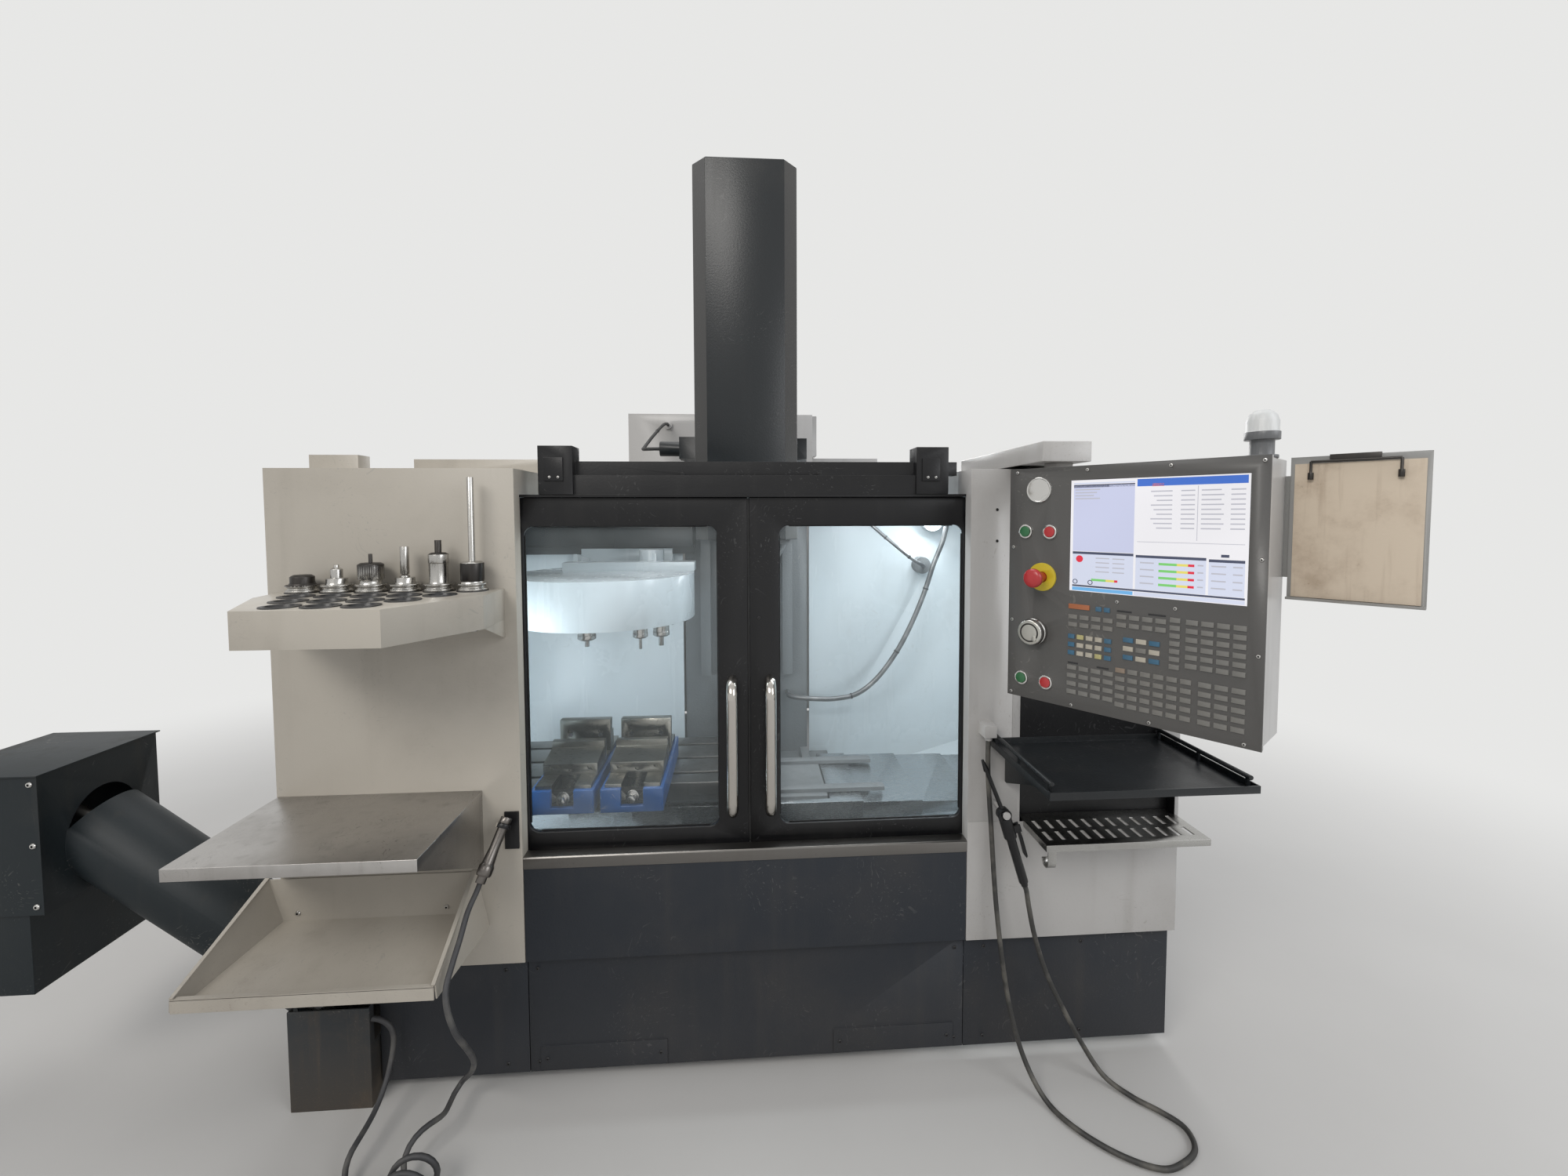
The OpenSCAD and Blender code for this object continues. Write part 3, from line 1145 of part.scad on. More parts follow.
rack_outline = [[-1058, 0], [-1043, -120], [-944, -310], [-679, -310], [-568, -130], [-573, 0]];
function rack_hole(r, i) = [-999 + rack_pitch * (i + r / 2), -36 - rack_pitch * 1.015 * r];

module tool_shelf() color([0.82, 0.82, 0.80]) placed() {
    difference() {
        translate([0, 0, rack_z - 72]) linear_extrude(72) polygon(rack_outline);
        translate([0, 0, rack_z - 73]) linear_extrude(70)
            polygon([[-1054, 1], [-1039, -118], [-941, -307], [-681, -307], [-571, -129], [-576, 1]]);
        for (r = [0:3], i = [0:5 - r])
            translate([rack_hole(r, i)[0], rack_hole(r, i)[1], rack_z - 10]) cylinder(d = rack_hole_d, h = 20, $fn = 32);
    }
    // Deeper ends at the wall and the wall flange
    sideways(-576, 3) polygon([[0, rack_z - 72], [-120, rack_z - 72], [0, rack_z - 117]]);
    sideways(-1052, 3) polygon([[0, rack_z - 72], [-70, rack_z - 72], [0, rack_z - 117]]);
    block([-1052, -573], [-3, 0], [rack_z - 117, rack_z - 3]);
    // Plastic rims of the holes
    for (r = [0:3], i = [0:5 - r])
        translate([rack_hole(r, i)[0], rack_hole(r, i)[1], rack_z]) difference() {
            cylinder(r = 33.5, h = 2, $fn = 32);
            translate([0, 0, -1]) cylinder(d = rack_hole_d, h = 4, $fn = 32);
        }
}

module rack_tool(i, body_r, body_h, nut_r, nut_h) translate([rack_hole(0, i)[0], rack_hole(0, i)[1], rack_z + 2])
    holder_body(body_r, body_h, nut_r, nut_h);

module above_rack(i, z, r, l, fn = 24)
    translate([rack_hole(0, i)[0], rack_hole(0, i)[1], rack_z + 2 + z]) cylinder(r = r, h = l, $fn = fn);

module rack_tools() color("lightgray") placed() {
    rack_tool(0, 24, 18, 23, 16);
    rack_tool(1, 21, 30, 12, 20);
    above_rack(1, 54, 5, 6);
    rack_tool(2, 22, 26, 26, 34);
    above_rack(2, 64, 4, 20);
    rack_tool(3, 20, 30, 10, 4);
    above_rack(3, 38, 9, 62);
    rack_tool(4, 20, 62, 21, 20);
    above_rack(4, 86, 7, 28);
    rack_tool(5, 24, 22, 25, 40);
    above_rack(5, 66, 7, 190);
}

module left_table() color("silver") placed() {
    block([-1098, -636], [-295, 0], [758, 761]);
    block([-1098, -636], [-295, -292], [736, 759]);
    for (x = [-1098, -639]) sideways(x, 3) polygon([[-295, 761], [0, 761], [0, 572], [-292, 736], [-295, 736]]);
    block([-1098, -636], [-3, 0], [590, 759]);
}

module left_tray() color([0.84, 0.83, 0.78]) placed() {
    c = -893;
    // Floor, back and front lip
    sideways(c - 205, 410) polygon([[-235, 437], [0, 461], [0, 464], [-235, 440]]);
    block([c - 205, c + 205], [-3, 0], [461, 566]);
    block([c - 250, c + 250], [-238, -235], [436, 464]);
    // Sides folded over like a ridge, lower towards the front
    intersection() {
        upright(-236, 236) for (s = [-1, 1]) translate([c, 0]) scale([s, 1]) {
            polygon([[196, 428], [200, 428], [235, 566], [232, 566]]);
            polygon([[230, 566], [234, 566], [264, 428], [260, 428]]);
            polygon([[228, 560], [238, 560], [235, 566], [231, 566]]);
        }
        sideways(c - 300, 600) polygon([[-237, 437], [0, 437], [0, 566], [-237, 464]]);
    }
}

// Flexible conduits in the work area and the motor cable
module conduit() color([0.5, 0.5, 0.52]) placed() {
    hose(loop_route, 20, 2, 10);
    hose(branch_route, 14, 2, 8);
    hose(motor_route, 14, 2, 8);
}

base_casting();
levelling_feet();
front_skirts();
sill();
left_housing();
right_housing();
liner();
door_rail();
left_door();
right_door();
left_window();
right_window();
left_handle();
right_handle();
column();
z_head();
spindle();
head_cover();
saddle();
table();
way_covers();
vise_bases();
vise_bodies();
left_vise_jaw();
right_vise_jaw();
left_vise_screw();
right_vise_screw();
carousel_carriage();
carousel_disc();
carousel_tools();
rear_cabinet();
cabinet_door();
auger_tube();
auger_screw();
coolant_tank();
pendant_arm();
pendant_housing();
pendant_panel();
screen();
stop_button();
power_on_button();
power_off_button();
start_button();
hold_button();
jog_knob();
beacon();
sheet_holder();
work_tray();
perforated_shelf();
air_gun();
air_gun_trigger();
air_hose();
wash_gun();
wash_hose();
wash_coil();
tool_shelf();
rack_tools();
left_table();
left_tray();
conduit();
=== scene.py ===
import bmesh
import bpy
import math
from mathutils import Matrix, Vector


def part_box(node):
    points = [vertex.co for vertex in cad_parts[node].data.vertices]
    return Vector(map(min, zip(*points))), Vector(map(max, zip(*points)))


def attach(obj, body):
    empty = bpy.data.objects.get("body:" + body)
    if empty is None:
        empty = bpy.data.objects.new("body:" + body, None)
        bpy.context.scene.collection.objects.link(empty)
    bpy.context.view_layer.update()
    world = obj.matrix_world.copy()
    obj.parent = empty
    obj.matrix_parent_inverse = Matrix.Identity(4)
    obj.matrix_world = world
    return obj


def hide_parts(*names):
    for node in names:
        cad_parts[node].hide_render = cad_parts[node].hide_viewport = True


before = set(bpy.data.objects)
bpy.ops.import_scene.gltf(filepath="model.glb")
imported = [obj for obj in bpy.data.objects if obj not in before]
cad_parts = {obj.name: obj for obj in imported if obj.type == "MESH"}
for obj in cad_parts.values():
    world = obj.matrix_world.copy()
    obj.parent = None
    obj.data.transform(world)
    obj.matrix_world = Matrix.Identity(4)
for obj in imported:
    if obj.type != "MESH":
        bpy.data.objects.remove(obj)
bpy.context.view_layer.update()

# Studio: a pale concrete floor that fades into an even backdrop, a soft sky and four large lamps.
# The camera stands in front of the doors at eye height with a wide lens, as in the photograph.
# Millimetres are measured from the door centre at the front panels, as on the drawing.
door_centre_x = (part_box("left_door")[1].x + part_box("right_door")[0].x) / 2
front_plane_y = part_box("tool_shelf")[1].y
ZERO = Vector((door_centre_x, front_plane_y, 0))


def at(x, y, z):
    return Vector((x, y, z)) / 1000 + ZERO


def feed(tree, socket, value):
    """Links another node's output to a socket, or sets a plain value."""
    if isinstance(value, bpy.types.NodeSocket):
        tree.links.new(value, socket)
    else:
        socket.default_value = value


def shader_node(tree, kind, **inputs):
    node = tree.nodes.new(kind)
    for name, value in inputs.items():
        feed(tree, node.inputs[name.replace("_", " ")], value)
    return node


def surface_place(tree):
    return tree.nodes.new("ShaderNodeTexCoord").outputs["Object"]


def calc(tree, operation, a, b=0.0, clamp=False):
    node = tree.nodes.new("ShaderNodeMath")
    node.operation = operation
    node.use_clamp = clamp
    for socket, value in zip(node.inputs, (a, b)):
        feed(tree, socket, value)
    return node.outputs[0]


def stepped(tree, value, low, high):
    node = shader_node(tree, "ShaderNodeMapRange", Value=value)
    node.interpolation_type = "SMOOTHSTEP"
    node.inputs["From Min"].default_value = low
    node.inputs["From Max"].default_value = high
    return node.outputs["Result"]


def plain_material(name, colour, roughness):
    material = bpy.data.materials.new(name)
    material.use_nodes = True
    shader = material.node_tree.nodes["Principled BSDF"]
    shader.inputs["Base Color"].default_value = (*colour, 1)
    shader.inputs["Roughness"].default_value = roughness
    return material


def add_object(name, data):
    made = bpy.data.objects.new(name, data)
    bpy.context.scene.collection.objects.link(made)
    return made


def seen_ray(tree):
    """1 for what the camera, mirrors and glass see, 0 for the light that falls on the object."""
    path = tree.nodes.new("ShaderNodeLightPath")
    seen = calc(tree, "MAXIMUM", path.outputs["Is Camera Ray"], path.outputs["Is Glossy Ray"])
    return calc(tree, "MAXIMUM", seen, path.outputs["Is Transmission Ray"])


backdrop_tone = (0.80, 0.80, 0.79, 1)
concrete = plain_material("floor pale", (0.56, 0.55, 0.53), 0.85)
tree = concrete.node_tree
place = tree.nodes.new("ShaderNodeNewGeometry").outputs["Position"]
cloud = shader_node(tree, "ShaderNodeTexNoise", Vector=place, Scale=1.7, Detail=6.0)
tone = tree.nodes.new("ShaderNodeValToRGB")
tone.color_ramp.elements[0].color = (0.53, 0.52, 0.50, 1)
tone.color_ramp.elements[1].color = (0.60, 0.59, 0.57, 1)
tree.links.new(cloud.outputs["Fac"], tone.inputs["Fac"])
tree.links.new(tone.outputs["Color"], tree.nodes["Principled BSDF"].inputs["Base Color"])
distance = tree.nodes.new("ShaderNodeVectorMath")
distance.operation = "LENGTH"
tree.links.new(place, distance.inputs[0])
far = stepped(tree, distance.outputs["Value"], 1.9, 4.6)
glow = shader_node(tree, "ShaderNodeEmission", Color=backdrop_tone, Strength=1.0)
fade = tree.nodes.new("ShaderNodeMixShader")
tree.links.new(calc(tree, "MULTIPLY", far, seen_ray(tree)), fade.inputs[0])
tree.links.new(tree.nodes["Principled BSDF"].outputs[0], fade.inputs[1])
tree.links.new(glow.outputs[0], fade.inputs[2])
tree.links.new(fade.outputs[0], tree.nodes["Material Output"].inputs["Surface"])
floor_mesh = bpy.data.meshes.new("floor")
floor_mesh.from_pydata([(-30, -30, 0), (30, -30, 0), (30, 30, 0), (-30, 30, 0)], [], [(0, 1, 2, 3)])
floor = add_object("floor", floor_mesh)
floor_mesh.materials.append(concrete)

world = bpy.data.worlds.new("studio sky")
bpy.context.scene.world = world
world.use_nodes = True
sky = world.node_tree
sky.nodes.clear()
lit = shader_node(sky, "ShaderNodeBackground", Color=(0.93, 0.95, 1.0, 1), Strength=0.46)
shown = shader_node(sky, "ShaderNodeBackground", Color=backdrop_tone, Strength=1.0)
blend = sky.nodes.new("ShaderNodeMixShader")
sky.links.new(seen_ray(sky), blend.inputs[0])
sky.links.new(lit.outputs[0], blend.inputs[1])
sky.links.new(shown.outputs[0], blend.inputs[2])
output = sky.nodes.new("ShaderNodeOutputWorld")
sky.links.new(blend.outputs[0], output.inputs["Surface"])


def soft_lamp(name, place, aim, size, watts, colour=(1, 1, 1)):
    data = bpy.data.lights.new(name, "AREA")
    data.shape = "RECTANGLE"
    data.size, data.size_y = size
    data.energy = watts
    data.color = colour
    lamp = add_object(name, data)
    lamp.location = place
    lamp.rotation_euler = (Vector(aim) - Vector(place)).to_track_quat("-Z", "Y").to_euler()
    return lamp


soft_lamp("key", (-2.4, -4.4, 4.6), (0.2, 0, 1.0), (3.0, 2.0), 135, (1.0, 0.97, 0.93))
soft_lamp("fill", (3.6, -3.4, 3.2), (0.2, 0, 1.0), (2.4, 2.4), 62, (0.95, 0.97, 1.0))
soft_lamp("top", (0.3, 0.9, 5.4), (0.3, 0.2, 0), (4.0, 3.0), 70)
soft_lamp("back", (1.6, 5.0, 2.6), (0, 0.8, 1.4), (3.0, 2.0), 70)

picture_width, picture_height = 2000, 1500
focal_length, middle_row = 788.1, 694.085
view_x, view_y, view_z = -12.6, -1484, 1416.1
heading, tilt, lean = math.radians(3.791), math.radians(-2.8153), math.radians(-0.1885)
forward = Vector((math.sin(heading) * math.cos(tilt), math.cos(heading) * math.cos(tilt), math.sin(tilt)))
level = Vector((math.cos(heading), -math.sin(heading), 0))
upward = level.cross(forward)
camera_right = level * math.cos(lean) + upward * math.sin(lean)
camera_up = -level * math.sin(lean) + upward * math.cos(lean)
camera_data = bpy.data.cameras.new("camera")
camera_data.sensor_width = 36
camera_data.sensor_fit = "HORIZONTAL"
camera_data.lens = focal_length / picture_width * 36
camera_data.shift_y = -(picture_height / 2 - middle_row) / picture_width
camera_data.clip_start = 0.05
camera = add_object("camera", camera_data)
turn = Matrix((camera_right, camera_up, -forward)).transposed()
camera.matrix_world = Matrix.Translation(at(view_x, view_y, view_z)) @ turn.to_4x4()
bpy.context.scene.camera = camera
bpy.context.scene.view_settings.view_transform = "Standard"


# Hoses: black rubber air and wash hoses, the work area's braided steel conduits and a motor's
# black cable. Each is one smooth run from fitting to fitting along the drawing's route.
def smooth_route(points, steps):
    """The drawing's own smooth curve through a route's points."""
    points = [Vector(p) for p in points]
    run = []
    for i in range(len(points) - 1):
        a, b = points[max(i - 1, 0)], points[i]
        c, d = points[i + 1], points[min(i + 2, len(points) - 1)]
        for k in range(steps):
            t = k / steps
            run.append(0.5 * (2 * b + (c - a) * t + (2 * a - 5 * b + 4 * c - d) * t * t
                              + (3 * b - a - 3 * c + d) * t ** 3))
    run.append(points[-1])
    return run


def run_length(points):
    return sum((b - a).length for a, b in zip(points, points[1:]))


def along(points, distance):
    """The place and heading at a distance along a run of points."""
    for a, b in zip(points, points[1:]):
        step = (b - a).length
        if distance <= step:
            return a.lerp(b, distance / step), (b - a).normalized()
        distance -= step
    return points[-1], (points[-1] - points[-2]).normalized()


def rubber(name, colour, dust_colour, metallic=0.0, roughness=0.55, weave=900.0):
    material = plain_material(name, colour, roughness)
    tree = material.node_tree
    shader = tree.nodes["Principled BSDF"]
    where = surface_place(tree)
    noise = shader_node(tree, "ShaderNodeTexNoise", Vector=where, Scale=18.0, Detail=5.0)
    ramp = tree.nodes.new("ShaderNodeValToRGB")
    ramp.color_ramp.elements[0].position = 0.45
    ramp.color_ramp.elements[0].color = (*colour, 1)
    ramp.color_ramp.elements[1].position = 0.75
    ramp.color_ramp.elements[1].color = (*dust_colour, 1)
    tree.links.new(noise.outputs["Fac"], ramp.inputs["Fac"])
    tree.links.new(ramp.outputs["Color"], shader.inputs["Base Color"])
    fine = shader_node(tree, "ShaderNodeTexNoise", Vector=where, Scale=weave, Detail=2.0)
    bump = shader_node(tree, "ShaderNodeBump", Strength=0.3, Distance=0.001, Height=fine.outputs["Fac"])
    tree.links.new(bump.outputs["Normal"], shader.inputs["Normal"])
    shader.inputs["Metallic"].default_value = metallic
    return material


def hose(name, run, diameter, material, stands_for):
    data = bpy.data.curves.new(name, "CURVE")
    data.dimensions = "3D"
    data.bevel_depth = diameter / 2000
    data.bevel_resolution = 4
    data.use_fill_caps = True
    spline = data.splines.new("POLY")
    spline.points.add(len(run) - 1)
    for point, place in zip(spline.points, run):
        point.co = (*at(*place), 1)
    piece = add_object(name, data)
    data.materials.append(material)
    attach(piece, "frame")
    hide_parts(*stands_for)
    return piece


air_route = [
    (667, -62, 509), (672, -62, 493), (680, -60, 450), (700, -52, 370), (735, -44, 270), (778, -40, 180),
    (828, -48, 85), (872, -72, 20), (915, -120, 9), (958, -160, 9), (988, -200, 9),
    (978, -245, 9), (935, -272, 9), (875, -282, 9), (800, -245, 9), (735, -180, 9),
    (700, -115, 14), (672, -62, 70), (645, -40, 180), (624, -32, 320), (608, -28, 470),
    (596, -26, 640), (587, -24, 780), (587, -24, 857.7)]
air_run = smooth_route(air_route, 6)
air_hose = hose("air_line", air_run, 12, rubber("air hose rubber", (0.035, 0.034, 0.032), (0.15, 0.14, 0.12)),
                ["air_hose"])

wash_route = [
    (-608, -92, 588), (-612, -101, 574), (-621, -126, 545), (-621, -165, 512), (-620, -205, 485),
    (-618, -238, 458), (-610, -250, 420), (-598, -245, 370), (-590, -215, 310), (-602, -160, 235),
    (-632, -100, 160), (-665, -48, 100), (-690, -26, 65), (-700, -44, 54), (-700, -79.5, 52)]
curl_route = [
    (-700, -80, 52), (-700, -140, 52), (-700, -200, 52), (-702, -260, 52), (-718, -318, 52),
    (-758, -352, 52), (-802, -352, 52), (-842, -318, 52), (-858, -260, 52), (-860, -200, 52),
    (-860, -140, 52)]
tail_route = [
    (-860, -139.5, 52), (-860, -112, 52.5), (-859, -84, 58), (-858, -57, 72), (-857, -33, 94),
    (-856.6, -14, 124), (-856.5, -4.5, 150), (-856.5, -3, 167), (-860.2, -3, 185.4), (-870.6, -3, 200.9),
    (-886.1, -3, 211.3), (-904.3, -3, 215)]
curl_radius, curl_pitch = 43.5, 33
ease_out, ease_turn, slow_turn = 100, 45, 0.018
core = smooth_route(curl_route, 12)
core_length = run_length(core)
full_turn = 2 * math.pi / curl_pitch
curl, travelled, angle = [], 0.0, 0.0
while travelled < core_length:
    place, heading_here = along(core, travelled)
    side = heading_here.cross(Vector((0, 0, 1))).normalized()
    nearest_end = min(travelled, core_length - travelled)
    share = min(1, nearest_end / ease_out)
    reach = curl_radius * share * share * (3 - 2 * share)
    share = min(1, max(0, (nearest_end - ease_out) / ease_turn))
    rate = slow_turn + (full_turn - slow_turn) * share * share * (3 - 2 * share)
    curl.append(place + side * reach * math.sin(angle) + Vector((0, 0, 1)) * reach * math.cos(angle))
    step = min(12, 14 / math.hypot(1, reach * rate))
    angle += rate * step
    travelled += step
wash_run = smooth_route(wash_route[:-1], 8) + curl + smooth_route(tail_route[1:], 8)
wash_rubber = rubber("wash hose rubber", (0.045, 0.045, 0.048), (0.12, 0.115, 0.105))
wash_hose = hose("wash_line", wash_run, 12, wash_rubber, ["wash_hose", "wash_coil"])

loop_route = [
    (812, 945, 1519.6), (812, 945, 1480), (806, 945, 1400), (788, 945, 1310), (749, 945, 1210),
    (710, 945, 1090), (655, 945, 960), (595, 945, 850), (520, 945, 752), (440, 945, 692), (350, 945, 674),
    (265, 948, 675), (205, 962, 677), (172, 986, 679), (165, 1010, 680), (165, 1024, 680), (165, 1039.6, 680)]
branch_route = [
    (717, 983.6, 1204), (717, 979, 1204), (717, 974, 1204), (713.2, 954.9, 1206), (702.4, 938.6, 1211),
    (686.1, 927.8, 1218), (667, 924, 1228), (630, 926, 1256), (590, 934, 1290), (550, 948, 1325),
    (515, 964, 1358), (492, 984, 1380), (481, 1003, 1389), (480, 1016, 1390), (480, 1023, 1390),
    (480, 1029.6, 1390)]
motor_route = [
    (-370, 1543.6, 1845), (-370, 1530, 1845), (-370, 1510, 1845), (-378, 1430, 1828), (-404, 1320, 1770),
    (-424, 1230, 1718), (-428, 1190, 1700), (-428, 1156, 1690), (-423.7, 1134.6, 1686),
    (-411.6, 1116.4, 1684.6), (-393.4, 1104.3, 1684), (-372, 1100, 1684), (-361, 1100, 1684),
    (-350.4, 1100, 1684)]
steel_braid = rubber("braided steel conduit", (0.15, 0.155, 0.16), (0.30, 0.30, 0.30), 0.7, 0.34, 500.0)
black_cable = rubber("black cable", (0.02, 0.02, 0.02), (0.06, 0.06, 0.06))


def turned(shape, profile, place, facing, segments=16, index=0):
    """A turned form: profile radii and heights in mm, set at a place and facing along a direction."""
    facing = Vector(facing).normalized()
    first = facing.orthogonal().normalized()
    second = facing.cross(first)
    rings = []
    for radius, height in profile:
        centre = Vector(place) + facing * height
        if radius == 0:
            rings.append([shape.verts.new(at(*centre))])
        else:
            angles = [2 * math.pi * k / segments for k in range(segments)]
            spots = [centre + (first * math.cos(a) + second * math.sin(a)) * radius for a in angles]
            rings.append([shape.verts.new(at(*spot)) for spot in spots])
    for low_ring, high_ring in zip(rings, rings[1:]):
        for k in range(segments):
            corners = [low_ring[k % len(low_ring)], low_ring[(k + 1) % len(low_ring)],
                       high_ring[(k + 1) % len(high_ring)], high_ring[k % len(high_ring)]]
            corners = list(dict.fromkeys(corners))
            shape.faces.new(corners).material_index = index


def new_piece(name, shape, materials, body):
    bmesh.ops.recalc_face_normals(shape, faces=shape.faces)
    data = bpy.data.meshes.new(name)
    shape.to_mesh(data)
    shape.free()
    for material in materials:
        data.materials.append(material)
    data.shade_smooth()
    data.set_sharp_from_angle(angle=math.radians(35))
    piece = add_object(name, data)
    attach(piece, body)
    return piece


for name, route, diameter, material, tied in [
        ("loop_conduit", loop_route, 20, steel_braid, (150, 420, 700, 960)),
        ("branch_conduit", branch_route, 14, steel_braid, (120, 240)),
        ("motor_cable", motor_route, 14, black_cable, (200,))]:
    run = smooth_route(route, 8)
    conduit = hose(name, run, diameter, material, ["conduit"])
    shape = bmesh.new()
    ring = diameter / 2
    for distance in tied:
        place, facing = along(run, distance)
        turned(shape, [(ring - 0.5, -3), (ring + 1, -3), (ring + 1.6, -2), (ring + 1.6, 2), (ring + 1, 3),
                       (ring - 0.5, 3), (ring - 0.5, -3)], place, facing)
    ties = new_piece(name + "_ties", shape, [black_cable], "frame")


# Painted sheet metal: the housings, skirts and shelves are folded steel sheet under enamel.
# Dust settles in blotches, coolant leaves dark runs, and the lower edges are grimy and scuffed.
def effect(name, inputs, outputs):
    group = bpy.data.node_groups.new(name, "ShaderNodeTree")
    for label, kind, value in inputs:
        socket = group.interface.new_socket(label, in_out="INPUT", socket_type="NodeSocket" + kind)
        socket.default_value = value
    for label, kind in outputs:
        group.interface.new_socket(label, in_out="OUTPUT", socket_type="NodeSocket" + kind)
    return group, group.nodes.new("NodeGroupInput").outputs, group.nodes.new("NodeGroupOutput").inputs


def mixed(tree, factor, a, b):
    node = tree.nodes.new("ShaderNodeMix")
    node.data_type = "RGBA"
    for index, value in ((0, factor), (6, a), (7, b)):
        feed(tree, node.inputs[index], value)
    return node.outputs[2]


grime, given, put = effect(
    "settled grime",
    [("Color", "Color", (0.5, 0.5, 0.5, 1)), ("Grime Color", "Color", (0.1, 0.08, 0.06, 1)),
     ("Amount", "Float", 0.3), ("Scale", "Float", 3.0), ("Low Edge", "Float", 0.6),
     ("Roughness", "Float", 0.4)],
    [("Color", "Color"), ("Roughness", "Float"), ("Height", "Float")])
where = surface_place(grime)
blotch = shader_node(grime, "ShaderNodeTexNoise", Vector=where, Scale=given["Scale"], Detail=7.0,
                     Roughness=0.62)
stretch = shader_node(grime, "ShaderNodeMapping", Vector=where, Scale=(1, 1, 0.07))
runs = shader_node(grime, "ShaderNodeTexNoise", Vector=stretch.outputs[0],
                   Scale=calc(grime, "MULTIPLY", given["Scale"], 9.0), Detail=4.0)
specks = shader_node(grime, "ShaderNodeTexNoise", Vector=where, Scale=240.0, Detail=2.0)
height_of = shader_node(grime, "ShaderNodeSeparateXYZ", Vector=where).outputs["Z"]
low = calc(grime, "SUBTRACT", 1.0, calc(grime, "DIVIDE", height_of, given["Low Edge"]), True)
patches = stepped(grime, blotch.outputs["Fac"], 0.46, 0.78)
trails = calc(grime, "MULTIPLY", stepped(grime, runs.outputs["Fac"], 0.52, 0.80), 0.55)
mask = calc(grime, "MULTIPLY", calc(grime, "ADD", calc(grime, "ADD", patches, trails),
                                    calc(grime, "MULTIPLY", low, 0.8)), given["Amount"], True)
tint = calc(grime, "MULTIPLY", stepped(grime, specks.outputs["Fac"], 0.62, 0.72),
            calc(grime, "MULTIPLY", mask, 0.6))
grime.links.new(mixed(grime, calc(grime, "ADD", mask, tint, True), given["Color"], given["Grime Color"]),
                put["Color"])
grime.links.new(calc(grime, "ADD", given["Roughness"], calc(grime, "MULTIPLY", mask, 0.45), True),
                put["Roughness"])
grime.links.new(calc(grime, "ADD", calc(grime, "MULTIPLY", specks.outputs["Fac"], 0.12),
                     calc(grime, "MULTIPLY", mask, 0.3)), put["Height"])

scuffs, given, put = effect(
    "scuffs and scratches",
    [("Color", "Color", (0.5, 0.5, 0.5, 1)), ("Bare Color", "Color", (0.3, 0.3, 0.3, 1)),
     ("Amount", "Float", 0.3), ("Scale", "Float", 6.0)],
    [("Color", "Color"), ("Mask", "Float")])
where = surface_place(scuffs)
warp = shader_node(scuffs, "ShaderNodeTexNoise", Vector=where, Scale=given["Scale"], Detail=3.0)
bent = scuffs.nodes.new("ShaderNodeVectorMath")
bent.operation = "MULTIPLY_ADD"
scuffs.links.new(warp.outputs["Color"], bent.inputs[0])
bent.inputs[1].default_value = (0.35, 0.35, 0.35)
scuffs.links.new(where, bent.inputs[2])
scratch_mask = 0.0
for turn_x, turn_y, squeeze in ((0.3, 0.6, 26.0), (-0.8, -0.25, 34.0), (1.3, 0.9, 22.0)):
    lay = shader_node(scuffs, "ShaderNodeMapping", Vector=bent.outputs[0], Rotation=(turn_x, turn_y, 0.4),
                      Scale=(squeeze, 1.2, squeeze))
    lines = shader_node(scuffs, "ShaderNodeTexNoise", Vector=lay.outputs[0], Scale=given["Scale"], Detail=1.0)
    thin = stepped(scuffs, lines.outputs["Fac"], 0.70, 0.74)
    scratch_mask = calc(scuffs, "MAXIMUM", scratch_mask, thin)
patch = shader_node(scuffs, "ShaderNodeTexNoise", Vector=where, Scale=given["Scale"], Detail=5.0)
where_worn = stepped(scuffs, patch.outputs["Fac"], 0.5, 0.62)
worn = calc(scuffs, "MULTIPLY", calc(scuffs, "MULTIPLY", scratch_mask, where_worn), given["Amount"], True)
scuffs.links.new(mixed(scuffs, worn, given["Color"], given["Bare Color"]), put["Color"])
scuffs.links.new(worn, put["Mask"])


def use_effect(tree, group, **inputs):
    node = tree.nodes.new("ShaderNodeGroup")
    node.node_tree = group
    for name, value in inputs.items():
        feed(tree, node.inputs[name.replace("_", " ")], value)
    return node.outputs


def enamel(name, colour, roughness=0.35, dirt=(0.16, 0.13, 0.10), amount=0.25, scale=2.5, low_edge=0.5,
           bare=(0.35, 0.33, 0.30), scuffed=0.5, peel=0.12, coat=0.15, gloss=0.5):
    material = plain_material(name, colour, roughness)
    tree = material.node_tree
    shader = tree.nodes["Principled BSDF"]
    marked = use_effect(tree, scuffs, Color=(*colour, 1), Bare_Color=(*bare, 1), Amount=scuffed, Scale=5.0)
    dirty = use_effect(tree, grime, Color=marked["Color"], Grime_Color=(*dirt, 1), Amount=amount, Scale=scale,
                       Low_Edge=low_edge, Roughness=roughness)
    where = surface_place(tree)
    orange_peel = shader_node(tree, "ShaderNodeTexNoise", Vector=where, Scale=170.0, Detail=2.0)
    height = calc(tree, "ADD", dirty["Height"], orange_peel.outputs["Fac"])
    bump = shader_node(tree, "ShaderNodeBump", Strength=peel, Distance=0.0015, Height=height)
    tree.links.new(dirty["Color"], shader.inputs["Base Color"])
    tree.links.new(dirty["Roughness"], shader.inputs["Roughness"])
    tree.links.new(bump.outputs["Normal"], shader.inputs["Normal"])
    shader.inputs["Coat Weight"].default_value = coat
    shader.inputs["Coat Roughness"].default_value = 0.2
    shader.inputs["Specular IOR Level"].default_value = gloss
    return material


def coat(node_name, *materials):
    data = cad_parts[node_name].data
    data.materials.clear()
    for material in materials:
        data.materials.append(material)
    for face in data.polygons:
        face.material_index = 0


